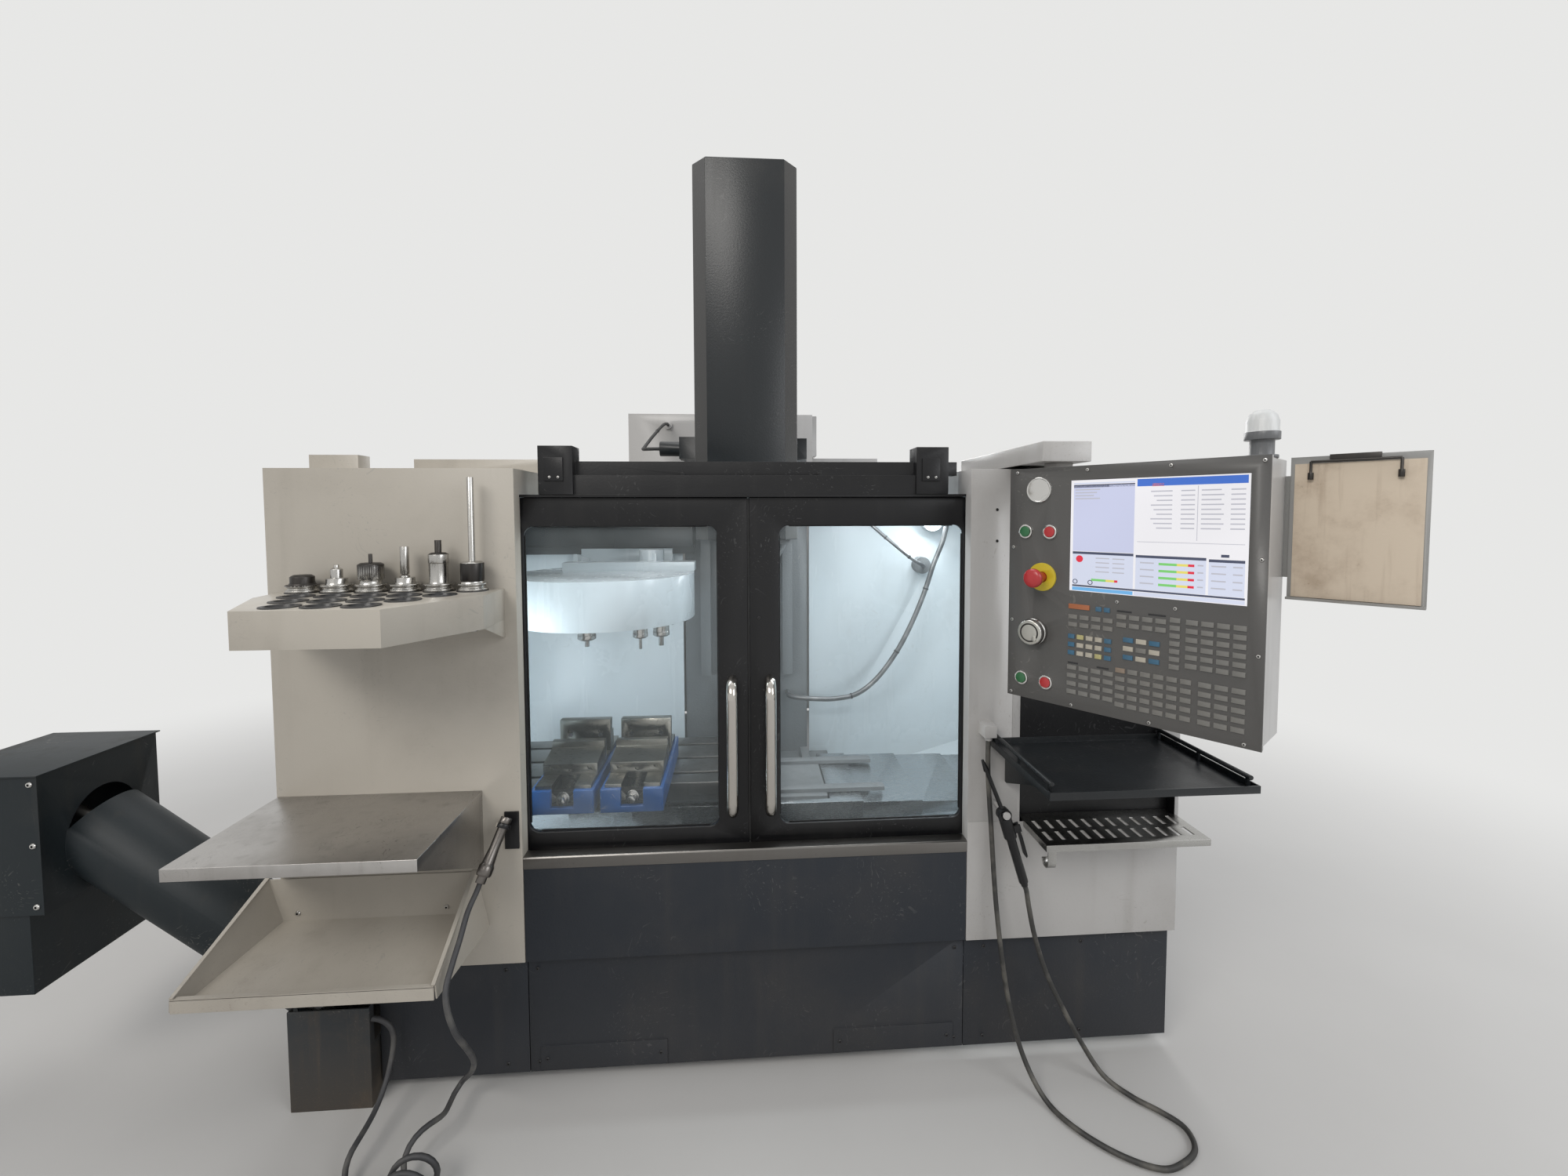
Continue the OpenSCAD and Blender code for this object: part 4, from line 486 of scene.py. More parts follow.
def paint_where(node_name, index, belongs):
    """Gives a node's faces another of its coats where belongs(x, y, z) holds, in millimetres."""
    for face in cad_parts[node_name].data.polygons:
        place = (face.center - ZERO) * 1000
        if belongs(place.x, place.y, place.z):
            face.material_index = index


def soften(node_name, width, join_faces=True):
    """Folds and machined edges are slightly round: a small bevel on the drawing's own node."""
    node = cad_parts[node_name]
    weld = node.modifiers.new("joined", "WELD")
    weld.merge_threshold = 0.00002
    if join_faces:
        flat = node.modifiers.new("flat faces", "DECIMATE")
        flat.decimate_type = "DISSOLVE"
        flat.angle_limit = math.radians(0.6)
        flat.delimit = {"MATERIAL"}
    edge_round = node.modifiers.new("round edges", "BEVEL")
    edge_round.width = width / 1000
    edge_round.segments = 2
    edge_round.limit_method = "ANGLE"
    edge_round.angle_limit = math.radians(32)
    edge_round.use_clamp_overlap = True
    edge_round.harden_normals = True
    for face in node.data.polygons:
        face.use_smooth = True


cream_paint = enamel("cream enamel", (0.47, 0.435, 0.375), 0.34, amount=0.26, scale=1.8, low_edge=0.75)
white_paint = enamel("white enamel", (0.50, 0.49, 0.475), 0.32, amount=0.26, scale=2.0, low_edge=0.75)
dark_paint = enamel("dark blue-grey enamel", (0.020, 0.024, 0.031), 0.45, dirt=(0.060, 0.055, 0.050),
                    amount=0.35, scale=2.4, low_edge=0.35, bare=(0.10, 0.10, 0.10), scuffed=0.5, peel=0.25,
                    coat=0.0, gloss=0.35)
black_paint = enamel("satin black enamel", (0.007, 0.007, 0.008), 0.36, dirt=(0.035, 0.034, 0.032),
                     amount=0.22, scale=3.0, low_edge=0.3, bare=(0.10, 0.10, 0.10), scuffed=0.35, peel=0.15,
                     coat=0.0, gloss=0.35)
# Painted shade: near black for the inside of screw sockets.
socket_shade = plain_material("painted socket shade", (0.004, 0.004, 0.004), 0.7)
coat("right_housing", white_paint, black_paint)
# Painted shade: the pocket under the work tray is coated satin black for the shade beneath the tray.
paint_where("right_housing", 1, lambda x, y, z: x > 678 and 0.5 < y < 37 and 600 < z < 836)
soften("right_housing", 2.2)
coat("left_housing", cream_paint, black_paint)
paint_where("left_housing", 1, lambda x, y, z: -586 < x < -551 and y < -0.2 and 617 < z < 709)
soften("left_housing", 2.2)
for name, material, width in [
        ("front_skirts", dark_paint, 1.2),
        ("door_rail", black_paint, 2.0),
        ("rear_cabinet", white_paint, 2.0), ("cabinet_door", white_paint, 2.0),
        ("pendant_arm", white_paint, 2.0), ("pendant_housing", white_paint, 2.5)]:
    coat(name, material)
    soften(name, width)

zinc = plain_material("zinc plated screws", (0.55, 0.54, 0.52), 0.28)
zinc.node_tree.nodes["Principled BSDF"].inputs["Metallic"].default_value = 1.0
black_screw = plain_material("black oxide screws", (0.02, 0.02, 0.021), 0.4)


def screws(name, places, facing, radius, material, body):
    """Pan-head screws with a hexagon socket, set in rows."""
    shape = bmesh.new()
    for place in places:
        turned(shape, [(radius, 0), (radius, radius * 0.28), (radius * 0.8, radius * 0.55),
                       (radius * 0.42, radius * 0.62)], place, facing, 12, 0)
        # The socket inside takes the near-black painted shade.
        turned(shape, [(radius * 0.42, radius * 0.62), (radius * 0.40, radius * 0.25), (0, radius * 0.22)],
               place, facing, 12, 1)
    return new_piece(name, shape, [material, socket_shade], body)


screws("skirt_screws", [(x, 22, z) for x in (-880, -600, -524, 524, 600, 860) for z in (60, 300)]
       + [(x, 19, 69) for x in (-504, -226, 226, 504)], (0, -1, 0), 4.5, black_screw, "frame")
screws("housing_screws", [(611.7, 0, 1424.6), (612.5, 0, 1347.5)], (0, -1, 0), 3.6, black_screw,
       "frame")
screws("tray_bolts", [(-1062, -3, 482), (-724, -3, 482)], (0, -1, 0), 6.0, zinc, "frame")
screws("rail_screws", [(x + dx, 24, 1505) for x in (-499, 417) for dx in (28, 48)], (0, -1, 0), 3.4, zinc,
       "frame")


# Left tray: one sheet folded into a floor, a back and two ridged sides that fall to the front,
# with a hemmed lip. Two bolts hold its back to the housing.
def sheet(shape, corners):
    """A plate below the plane of its corners, with its edges rounded."""
    corners = [Vector(c) for c in corners]
    normal = (corners[1] - corners[0]).cross(corners[2] - corners[1]).normalized()
    high_ring = [shape.verts.new(at(*c)) for c in corners]
    low_ring = [shape.verts.new(at(*(c - normal * sheet_thickness))) for c in corners]
    faces = [shape.faces.new(high_ring), shape.faces.new(low_ring[::-1])]
    for k in range(len(corners)):
        j = (k + 1) % len(corners)
        faces.append(shape.faces.new((high_ring[j], high_ring[k], low_ring[k], low_ring[j])))
    edges = list({e for f in faces for e in f.edges})
    bmesh.ops.bevel(shape, geom=edges, offset=0.5 / 1000, segments=2, affect="EDGES")


tray_x, sheet_thickness = -893, 3
shape = bmesh.new()
tray_floor = [(-205, 0, 464), (-246, -235, 440), (246, -235, 440), (205, 0, 464)]
tray_back = [(-206, -3, 461), (206, -3, 461), (235, -3, 565), (-235, -3, 565)]
tray_front = [(-251, -238, 436), (251, -238, 436), (251, -238, 464), (-251, -238, 464)]
front_hem = [(-251, -238, 465), (251, -238, 465), (251, -228, 465), (-251, -228, 465)]
for corners in (tray_floor, tray_back, tray_front, front_hem):
    sheet(shape, [(tray_x + x, y, z) for x, y, z in corners])
for side in (-1, 1):
    inner = [(205, -0.5, 463), (246, -235, 439), (250, -235, 464), (234, -0.5, 565)]
    outer = [(236, -0.5, 565), (251, -235, 464), (253, -235, 437), (264, -0.5, 428)]
    ridge = [(230, -0.5, 567), (245, -236, 465), (253, -236, 465), (240, -0.5, 567)]
    for corners in (inner, outer, ridge):
        corners = [(tray_x + side * x, y, z) for x, y, z in corners]
        sheet(shape, corners if side < 0 else corners[::-1])
tray = new_piece("folded_tray", shape, [cream_paint], "frame")
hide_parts("left_tray")

# Tool shelf and its holders: a folded shelf with black plastic rims round its eighteen holes.
# Six tapered holders stand in the back row: ground tapers and flanges, blackened nuts.
def bare_metal(name, colour, roughness, stretch, amount=0.2, dirt=(0.12, 0.10, 0.08), marks=0.5):
    material = plain_material(name, colour, roughness)
    tree = material.node_tree
    shader = tree.nodes["Principled BSDF"]
    where = surface_place(tree)
    lay = shader_node(tree, "ShaderNodeMapping", Vector=where, Scale=stretch)
    grain = shader_node(tree, "ShaderNodeTexNoise", Vector=lay.outputs[0], Scale=60.0, Detail=5.0,
                        Roughness=0.7)
    marked = use_effect(tree, scuffs, Color=(*colour, 1), Bare_Color=(*[c * 0.55 for c in colour], 1),
                        Amount=marks, Scale=7.0)
    dirty = use_effect(tree, grime, Color=marked["Color"], Grime_Color=(*dirt, 1), Amount=amount, Scale=4.0,
                       Low_Edge=0.05, Roughness=roughness)
    spread = calc(tree, "MULTIPLY", calc(tree, "SUBTRACT", grain.outputs["Fac"], 0.5), 0.28)
    rough = calc(tree, "ADD", dirty["Roughness"], spread, True)
    height = calc(tree, "ADD", dirty["Height"], grain.outputs["Fac"])
    bump = shader_node(tree, "ShaderNodeBump", Strength=0.12, Distance=0.0008, Height=height)
    tree.links.new(dirty["Color"], shader.inputs["Base Color"])
    tree.links.new(rough, shader.inputs["Roughness"])
    tree.links.new(bump.outputs["Normal"], shader.inputs["Normal"])
    shader.inputs["Metallic"].default_value = 1.0
    return material


rack_top = 1243
rim_plastic = enamel("black rim plastic", (0.010, 0.010, 0.011), 0.4, dirt=(0.10, 0.09, 0.08), amount=0.3,
                     scuffed=0.2, coat=0.1)
ground_steel = bare_metal("ground steel", (0.46, 0.45, 0.43), 0.24, (12.0, 12.0, 1.0), amount=0.2)
blackened = bare_metal("blackened tool steel", (0.055, 0.052, 0.050), 0.35, (12.0, 12.0, 1.0), amount=0.2,
                       marks=0.4)
coat("tool_shelf", cream_paint, rim_plastic)
paint_where("tool_shelf", 1, lambda x, y, z: z > rack_top + 0.2)
soften("tool_shelf", 1.4)
shape = bmesh.new()
first_hole_x, first_row_y = -999, -36
hole_radius, hole_pitch, row_spread = 26, 74, 1.015
for row, count in ((1, 5), (2, 4), (3, 3)):
    for column in range(count):
        centre = (first_hole_x + hole_pitch * (column + row / 2),
                  first_row_y - hole_pitch * row_spread * row, rack_top)
        turned(shape, [(hole_radius - 0.4, 1.5), (hole_radius - 1.6, 2.6), (hole_radius - 2.6, 1.5),
                       (hole_radius - 8.4, -40), (hole_radius - 7, -40), (hole_radius - 0.4, -1),
                       (hole_radius - 0.4, 1.5)], centre, (0, 0, 1), 32)
new_piece("rack_cups", shape, [rim_plastic], "frame")
coat("rack_tools", ground_steel, blackened)
paint_where("rack_tools", 1, lambda x, y, z: z > rack_top + 17 and (
    x < -960 or -890 < x < -810 and z > rack_top + 44 or x > -660 and rack_top + 22 < z < rack_top + 60
    or -740 < x < -670 and z > rack_top + 80))
soften("rack_tools", 0.5)

# Bare metal: the sill, telescoping way covers, left table and perforated shelf are brushed
# stainless sheet. Ground and machined parts carry fine tool marks and a film of coolant.
sill_steel = bare_metal("brushed sill", (0.19, 0.182, 0.172), 0.32, (1.0, 30.0, 30.0), amount=0.25)
shelf_steel = bare_metal("brushed stainless", (0.42, 0.415, 0.40), 0.28, (1.0, 30.0, 30.0), amount=0.25)
table_steel = bare_metal("brushed table top", (0.47, 0.455, 0.44), 0.30, (30.0, 1.0, 30.0), amount=0.32,
                         marks=0.9, dirt=(0.10, 0.085, 0.07))
wet_steel = bare_metal("wet steel covers", (0.42, 0.44, 0.455), 0.25, (1.0, 20.0, 20.0), amount=0.10,
                       marks=0.3)
machined_iron = bare_metal("machined iron", (0.25, 0.245, 0.235), 0.34, (1.0, 14.0, 14.0), amount=0.4,
                           marks=0.8, dirt=(0.05, 0.045, 0.04))
vise_metal = bare_metal("oiled vise steel", (0.24, 0.235, 0.21), 0.30, (1.0, 12.0, 12.0), amount=0.35,
                        marks=0.8, dirt=(0.05, 0.045, 0.03))
cast_alloy = bare_metal("cast alloy", (0.40, 0.40, 0.41), 0.38, (6.0, 6.0, 6.0), amount=0.3)
polished = bare_metal("polished steel", (0.50, 0.475, 0.44), 0.15, (10.0, 10.0, 1.0), amount=0.10, marks=0.3)
for name, material, width in [
        ("sill", sill_steel, 0.8), ("way_covers", wet_steel, 0.8), ("left_table", table_steel, 0.8),
        ("perforated_shelf", shelf_steel, 0.4), ("levelling_feet", machined_iron, 0.8),
        ("table", machined_iron, 1.0), ("left_vise_jaw", vise_metal, 1.2),
        ("right_vise_jaw", vise_metal, 1.2), ("left_vise_screw", ground_steel, 0.4),
        ("right_vise_screw", ground_steel, 0.4), ("spindle", ground_steel, 0.4),
        ("carousel_disc", cast_alloy, 1.0), ("carousel_tools", ground_steel, 0.4)]:
    coat(name, material)
    soften(name, width)
gun_metal = bare_metal("worn gun metal", (0.16, 0.148, 0.138), 0.30, (12.0, 12.0, 1.0), amount=0.3, marks=0.6)
coat("wash_gun", gun_metal)
soften("wash_gun", 0.6)
coat("vise_bodies", vise_metal, blackened)
left_vise_x, right_vise_x = -502, -317
paint_where("vise_bodies", 1, lambda x, y, z: z < 682.5 and y < 420 and (
    abs(x - left_vise_x) < 30.5 or abs(x - right_vise_x) < 30.5))
soften("vise_bodies", 1.0)
shape = bmesh.new()
screw_head = [(6.8, 0), (6.6, 0.9), (5.6, 0.9), (4.8, 0.3), (0, 0.3)]
for x in (left_vise_x, right_vise_x):
    for across in (-45, 45):
        turned(shape, screw_head, (x + across, 430, 737), (0, -1, 0), 20)
new_piece("jaw_screws", shape, [black_screw], "table")
for name in ("left_handle", "right_handle"):
    coat(name, polished)
    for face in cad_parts[name].data.polygons:
        face.use_smooth = True

# Castings and covers: the bed, column, saddle and head are grey-painted iron. The white liner
# and tool changer cover are wet enamelled sheet; doors, auger, tank, work tray and head cover
# are dark enamelled sheet, and the vises' bases are blue.
casting_paint = enamel("grey casting paint", (0.145, 0.155, 0.16), 0.5, amount=0.4, dirt=(0.05, 0.045, 0.04),
                       low_edge=0.2, peel=0.6, scuffed=0.3)
head_paint = enamel("charcoal cover enamel", (0.011, 0.0135, 0.0155), 0.33, dirt=(0.055, 0.05, 0.045),
                    amount=0.28, scale=2.0, low_edge=0.1, bare=(0.09, 0.09, 0.09), scuffed=0.45, peel=0.2,
                    coat=0.0, gloss=0.45)
liner_paint = enamel("wet white liner", (0.56, 0.62, 0.65), 0.26, dirt=(0.25, 0.25, 0.23), amount=0.22,
                     scale=2.2, low_edge=0.55, scuffed=0.25, coat=0.4)
auger_paint = enamel("auger enamel", (0.013, 0.018, 0.021), 0.48, dirt=(0.075, 0.068, 0.058), amount=0.3,
                     scale=3.0, low_edge=0.3, bare=(0.12, 0.12, 0.11), scuffed=0.5, coat=0.0, gloss=0.3)
tank_paint = enamel("coolant tank enamel", (0.020, 0.027, 0.033), 0.42, dirt=(0.10, 0.08, 0.06), amount=0.7,
                    scale=5.0, low_edge=0.25, bare=(0.14, 0.13, 0.12), scuffed=0.7, coat=0.0, gloss=0.4)
blue_paint = enamel("blue vise enamel", (0.003, 0.065, 0.235), 0.28, dirt=(0.012, 0.018, 0.03), amount=0.45,
                    scuffed=0.4, coat=0.5)
for name, material, width in [
        ("base_casting", casting_paint, 4.0), ("saddle", casting_paint, 2.0),
        ("z_head", casting_paint, 2.0),
        ("carousel_carriage", liner_paint, 1.5), ("auger_tube", auger_paint, 2.0),
        ("coolant_tank", tank_paint, 1.5), ("vise_bases", blue_paint, 1.5), ("work_tray", head_paint, 1.0),
        ("left_door", black_paint, 1.5), ("right_door", black_paint, 1.5), ("air_gun", black_paint, 0.6),
        ("air_gun_trigger", black_paint, 0.4)]:
    coat(name, material)
    soften(name, width)
# Painted highlight: a lighter grey for the cover's chamfered corners that face the front and sides, chosen
# below by their facing.
corner_highlight_paint = enamel("cover corners, painted highlight and wear", (0.040, 0.039, 0.038), 0.34, dirt=(0.09, 0.08, 0.07), amount=0.28,
                      scale=2.0, low_edge=0.1, bare=(0.14, 0.13, 0.12), scuffed=0.45, peel=0.2, coat=0.0,
                      gloss=0.5)
coat("head_cover", head_paint, corner_highlight_paint)
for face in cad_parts["head_cover"].data.polygons:
    if abs(face.normal.x) > 0.3 and face.normal.y < -0.3:
        face.material_index = 1
soften("head_cover", 2.5, join_faces=False)
coat("auger_screw", machined_iron)
coat("column", casting_paint, head_paint)
paint_where("column", 1, lambda x, y, z: z > 1545 or x < -205 and z > 1255 and y < 1042)
soften("column", 2.5)


def lamp_glass(name, colour, strength):
    material = plain_material(name, colour, 0.3)
    tree = material.node_tree
    shader = tree.nodes["Principled BSDF"]
    where = surface_place(tree)
    flutes = shader_node(tree, "ShaderNodeTexNoise", Vector=where, Scale=70.0, Detail=1.0)
    shades = mixed(tree, flutes.outputs["Fac"], (*[c * 0.8 for c in colour], 1), (*colour, 1))
    tree.links.new(shades, shader.inputs["Emission Color"])
    shader.inputs["Emission Strength"].default_value = strength
    return material


coat("liner", liner_paint, lamp_glass("work lamp glass", (0.90, 0.97, 1.0), 1.6), casting_paint, wet_steel)
boss_x, boss_z, boss_radius = 717, 1204, 35
paint_where("liner", 2, lambda x, y, z: (x - boss_x) ** 2 + (z - boss_z) ** 2 < boss_radius ** 2 and y < 1029)
# Painted shade: the liner's low front faces (the trough) take the steel coat instead of the white liner, for
# the shade under the table.
paint_where("liner", 3, lambda x, y, z: z < 490 and y < 430)
lamp_x, lamp_z, lamp_radius = 760, 1385, 43
paint_where("liner", 1, lambda x, y, z: (x - lamp_x) ** 2 + (z - lamp_z) ** 2 < lamp_radius ** 2 and y < 991)
soften("liner", 0.8)

# Doors: two black steel doors with clear toughened panes in rubber gaskets, misted with dried
# coolant, a rubber seal down the meeting edge, and a lock near the right door's edge.
pane_glass = plain_material("misted pane", (0.75, 0.83, 0.84), 0.08)
tree = pane_glass.node_tree
pane_shader = tree.nodes["Principled BSDF"]
where = surface_place(tree)
mist = shader_node(tree, "ShaderNodeTexNoise", Vector=where, Scale=3.0, Detail=6.0)
tree.links.new(calc(tree, "ADD", calc(tree, "MULTIPLY", stepped(tree, mist.outputs["Fac"], 0.4, 0.8), 0.07),
                    0.04),
               pane_shader.inputs["Alpha"])
for name in ("left_window", "right_window"):
    coat(name, pane_glass)


def bar(shape, low, high, round_by=0.6):
    """A straight bar or plate with rounded edges, from its lowest to its highest corner in mm."""
    made = bmesh.ops.create_cube(shape, size=1.0)
    middle, size = (Vector(low) + Vector(high)) / 2, Vector(high) - Vector(low)
    for vert in made["verts"]:
        vert.co = at(*(middle + Vector(c * s for c, s in zip(vert.co, size))))
    edges = list({e for v in made["verts"] for e in v.link_edges})
    bmesh.ops.bevel(shape, geom=edges, offset=round_by / 1000, segments=2, affect="EDGES")


seal_rubber = rubber("door seal rubber", (0.006, 0.006, 0.006), (0.02, 0.02, 0.02))
shape = bmesh.new()
bar(shape, (-2.6, 48, 588), (2.2, 66, 1455))
new_piece("door_seal", shape, [seal_rubber], "left_door")
pane_inner, pane_outer, pane_middle = 76.5, 542.5, 309.5
pane_low, pane_high = 630, 1387
gasket_front, gasket_back = 53, 57.5
for side, body in ((-1, "left_door"), (1, "right_door")):
    shape = bmesh.new()
    for x in (side * pane_inner, side * pane_outer):
        bar(shape, (x - 2.5, gasket_front, pane_low + 22), (x + 2.5, gasket_back, pane_high - 22))
    for z in (pane_low, pane_high):
        bar(shape, (side * pane_middle - 208, gasket_front, z - 2.5),
            (side * pane_middle + 208, gasket_back, z + 2.5))
    new_piece(body + "_gasket", shape, [seal_rubber], body)
screws("door_lock", [(25.5, 45, 1157.5)], (0, -1, 0), 4.2, black_screw, "right_door")

# Painted shade behind the work tray: a dark enamelled sheet, flat on the right housing, stands for the shade
# and the dark clutter behind the tray.
shape = bmesh.new()
bar(shape, (678, -1.6, 839), (1044, 0.4, 1100))
new_piece("shade_sheet_behind_tray", shape, [black_paint], "frame")

# Work lamps: strip lamps behind the front edge, a round sealed lamp on the back wall, and lamps
# at the sides and under the roof, all cool white.
cool_white = (0.88, 0.96, 1.0)
for x in (-330, 330):
    soft_lamp(f"strip lamp {x}", at(x, 130, 1440), at(x, 560, 500), (0.6, 0.05), 1.4, cool_white)
for x, watts in ((-900, 7.5), (920, 3.4)):
    side = soft_lamp(f"side lamp {x}", at(x, 180, 780), at(-x * 0.2, 1030, 900), (0.2, 0.5), watts,
                     cool_white)
    side.visible_glossy = False
soft_lamp("round lamp", at(lamp_x, 940, lamp_z), at(200, 400, 600), (0.07, 0.07), 1.2, cool_white)
soft_lamp("roof lamp", at(470, 640, 1500), at(430, 740, 400), (0.7, 0.4), 3.4, cool_white)

# Control pendant: a grey keypad film on a steel plate with moulded keys, a lit screen, push
# buttons in chrome collars, a turned jog wheel and a row of small screws round the border.
pivot_x, pivot_y = 703, -118
panel_left, panel_front, panel_top = 55, 110, 1512
pendant_turn = math.radians(53)
sin_turn, cos_turn = math.sin(pendant_turn), math.cos(pendant_turn)
panel_normal = Vector((-sin_turn, -cos_turn, 0))


def on_panel(u, v, out=0.0):
    across, back = u - panel_left, -panel_front - out
    x = pivot_x + across * cos_turn + back * sin_turn
    y = pivot_y - across * sin_turn + back * cos_turn
    return Vector((x, y, panel_top - v))


def panel_place(x, y, z):
    across = (x - pivot_x) * cos_turn - (y - pivot_y) * sin_turn
    back = (x - pivot_x) * sin_turn + (y - pivot_y) * cos_turn
    return across + panel_left, panel_top - z, -panel_front - back


def near(u, v, spot, radius):
    return (u - spot[0]) ** 2 + (v - spot[1]) ** 2 < radius ** 2


handled = {"amount": 0.15, "low_edge": 0.1, "scuffed": 0.2}
film = enamel("grey keypad film", (0.085, 0.082, 0.078), 0.42, dirt=(0.15, 0.14, 0.12), **handled)
key_colours = {
    "grey": (0.19, 0.185, 0.17), "blue": (0.035, 0.13, 0.22), "cream": (0.50, 0.46, 0.38),
    "orange": (0.42, 0.13, 0.045), "yellow": (0.50, 0.45, 0.20), "sand": (0.26, 0.20, 0.15)}
key_coats = [enamel(f"{name} key", colour, 0.4, amount=0.2, low_edge=0.1, scuffed=0.2)
             for name, colour in key_colours.items()]
key_index = {name: 1 + k for k, name in enumerate(key_colours)}
chrome = bare_metal("chrome collars", (0.60, 0.59, 0.57), 0.12, (10.0, 10.0, 10.0), amount=0.1, marks=0.2)
signal_yellow = enamel("signal yellow", (0.62, 0.48, 0.02), 0.4, **handled)
collar_index, yellow_index = 1 + len(key_coats), 2 + len(key_coats)
stop_spot, jog_spot, badge_spot = (77, 233), (61, 353), (67, 47)
button_spots = [(39, 136), (93, 136), (34, 459), (89, 459)]


def key_name(u, v):
    if v < 300 and u < 180:
        return "orange"
    if v < 300 and u < 222:
        return "blue"
    if 340 < v < 395 and u < 226:
        column, row = int((u - 135) // 18), int((v - 346) // 17)
        if column in (0, 4):
            return "blue"
        return "yellow" if (column, row) in ((1, 0), (3, 2)) else "cream"
    if 334 < v < 390 and 240 < u < 310:
        column, row = int((u - 242) // 23), int((v - 338) // 17)
        if column != 1 and row != 1:
            return "blue"
        return "grey" if (column, row) == (1, 1) else "cream"
    if 398 < v < 414 and 226 < u < 250:
        return "sand"
    return "grey"


coat("pendant_panel", film, *key_coats, chrome, signal_yellow)
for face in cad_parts["pendant_panel"].data.polygons:
    u, v, out = panel_place(*((face.center - ZERO) * 1000))
    if out < 0.1:
        continue
    if near(u, v, stop_spot, 31):
        face.material_index = yellow_index
    elif near(u, v, badge_spot, 28) or any(near(u, v, spot, 16) for spot in button_spots):
        face.material_index = collar_index
    else:
        face.material_index = key_index[key_name(u, v)]
soften("pendant_panel", 0.8)

screen_glass = plain_material("screen glass", (0.02, 0.02, 0.022), 0.12)
screen_tree = screen_glass.node_tree
screen_where = surface_place(screen_tree)
smudge = shader_node(screen_tree, "ShaderNodeTexNoise", Vector=screen_where, Scale=9.0, Detail=4.0)
screen_tree.links.new(stepped(screen_tree, smudge.outputs["Fac"], 0.2, 1.6),
                      screen_tree.nodes["Principled BSDF"].inputs["Roughness"])
coat("screen", screen_glass)
lit_tones = [
    ("white", (0.86, 0.85, 0.88)), ("lavender", (0.58, 0.61, 0.80)), ("dark bar", (0.06, 0.07, 0.12)),
    ("blue bar", (0.05, 0.16, 0.60)), ("orange tab", (0.85, 0.22, 0.06)), ("pale grey", (0.66, 0.70, 0.84)),
    ("red", (0.75, 0.02, 0.05)), ("green", (0.20, 0.62, 0.16)), ("yellow", (0.80, 0.70, 0.15)),
    ("sky blue", (0.16, 0.45, 0.80)), ("faint line", (0.50, 0.50, 0.56))]
tone_index = {name: k for k, (name, colour) in enumerate(lit_tones)}
panes = [(0.5, 0.5, 303.5, 227.5, "white"), (6, 12, 122, 145, "lavender"), (6, 6, 122, 9, "pale grey"),
         (6, 10, 122, 16, "dark bar"), (126, 3, 300, 17, "blue bar"), (152, 12, 172, 17.5, "orange tab"),
         (6, 147, 122, 214, "pale grey"), (126, 149, 242, 214, "pale grey"),
         (246, 151, 299, 214, "pale grey"), (6, 146, 122, 151, "dark bar"), (126, 148, 242, 153, "dark bar"),
         (246, 150, 299, 155, "dark bar"), (6, 214.5, 300, 218, "dark bar"), (6, 219, 122, 226, "sky blue"),
         (124, 219, 300, 226, "pale grey"), (226, 19, 227, 118, "faint line"),
         (128, 122, 298, 123, "faint line"), (264, 141, 276, 146, "dark bar")]
for row in range(4):
    top = 161 + 13 * row
    panes += [(166, top, 196, top + 4.5, "green"), (196, top, 214, top + 4.5, "yellow"),
              (214, top, 224, top + 4.5, "red"), (134, top, 158, top + 2.5, "faint line"),
              (229, top, 238, top + 2.5, "faint line")]
    panes += [(250, top, 272, top + 2.5, "faint line"), (282, top, 296, top + 2.5, "faint line")]
panes += [(44, 200, 72, 204.5, "green"), (72, 200, 88, 204.5, "yellow"), (88, 200, 94, 204.5, "red")]
for row in range(9):
    top = 26 + 8.6 * row
    panes += [(150 + 5 * (row % 3), top, 186, top + 2.2, "faint line"),
              (200, top, 222, top + 2.2, "faint line"), (232, top, 262 + 4 * (row % 2), top + 2.2,
                                                         "faint line"),
                                                         (276, top, 297, top + 2.2, "faint line")]
for row in range(4):
    panes += [(9, 19 + 6 * row, 58 - 6 * (row % 3), 21.4 + 6 * row, "faint line"),
              (52, 157 + 9 * row, 78, 159.2 + 9 * row, "faint line"),
              (84, 157 + 9 * row, 106, 159.2 + 9 * row, "faint line")]
shape = bmesh.new()
screen_u, screen_v = 134, 29
for order, (u0, v0, u1, v1, tone_name) in enumerate(panes):
    layer = 0 if order == 0 else 1 if order < 9 else 2 if order < 18 else 3
    depth = -1.45 + 0.12 * layer
    corners = [(screen_u + u, screen_v + v) for u, v in ((u0, v0), (u1, v0), (u1, v1), (u0, v1))]
    front = [shape.verts.new(at(*on_panel(u, v, depth))) for u, v in corners]
    back = [shape.verts.new(at(*on_panel(u, v, depth - 0.1))) for u, v in corners]
    faces = [shape.faces.new(front), shape.faces.new(back[::-1])]
    faces += [shape.faces.new((front[k], back[k], back[(k + 1) % 4], front[(k + 1) % 4])) for k in range(4)]
    for face in faces:
        face.material_index = tone_index[tone_name]
turned(shape, [(0, 0), (7, 0), (7, 0.3), (0, 0.3)], on_panel(screen_u + 20, screen_v + 161, -1.2),
       panel_normal, 24, tone_index["red"])
for u in (12, 42):
    turned(shape, [(3.5, 0), (5, 0), (5, 0.3), (3.5, 0.3), (3.5, 0)],
           on_panel(screen_u + u, screen_v + 208, -1.2), panel_normal, 24, tone_index["dark bar"])


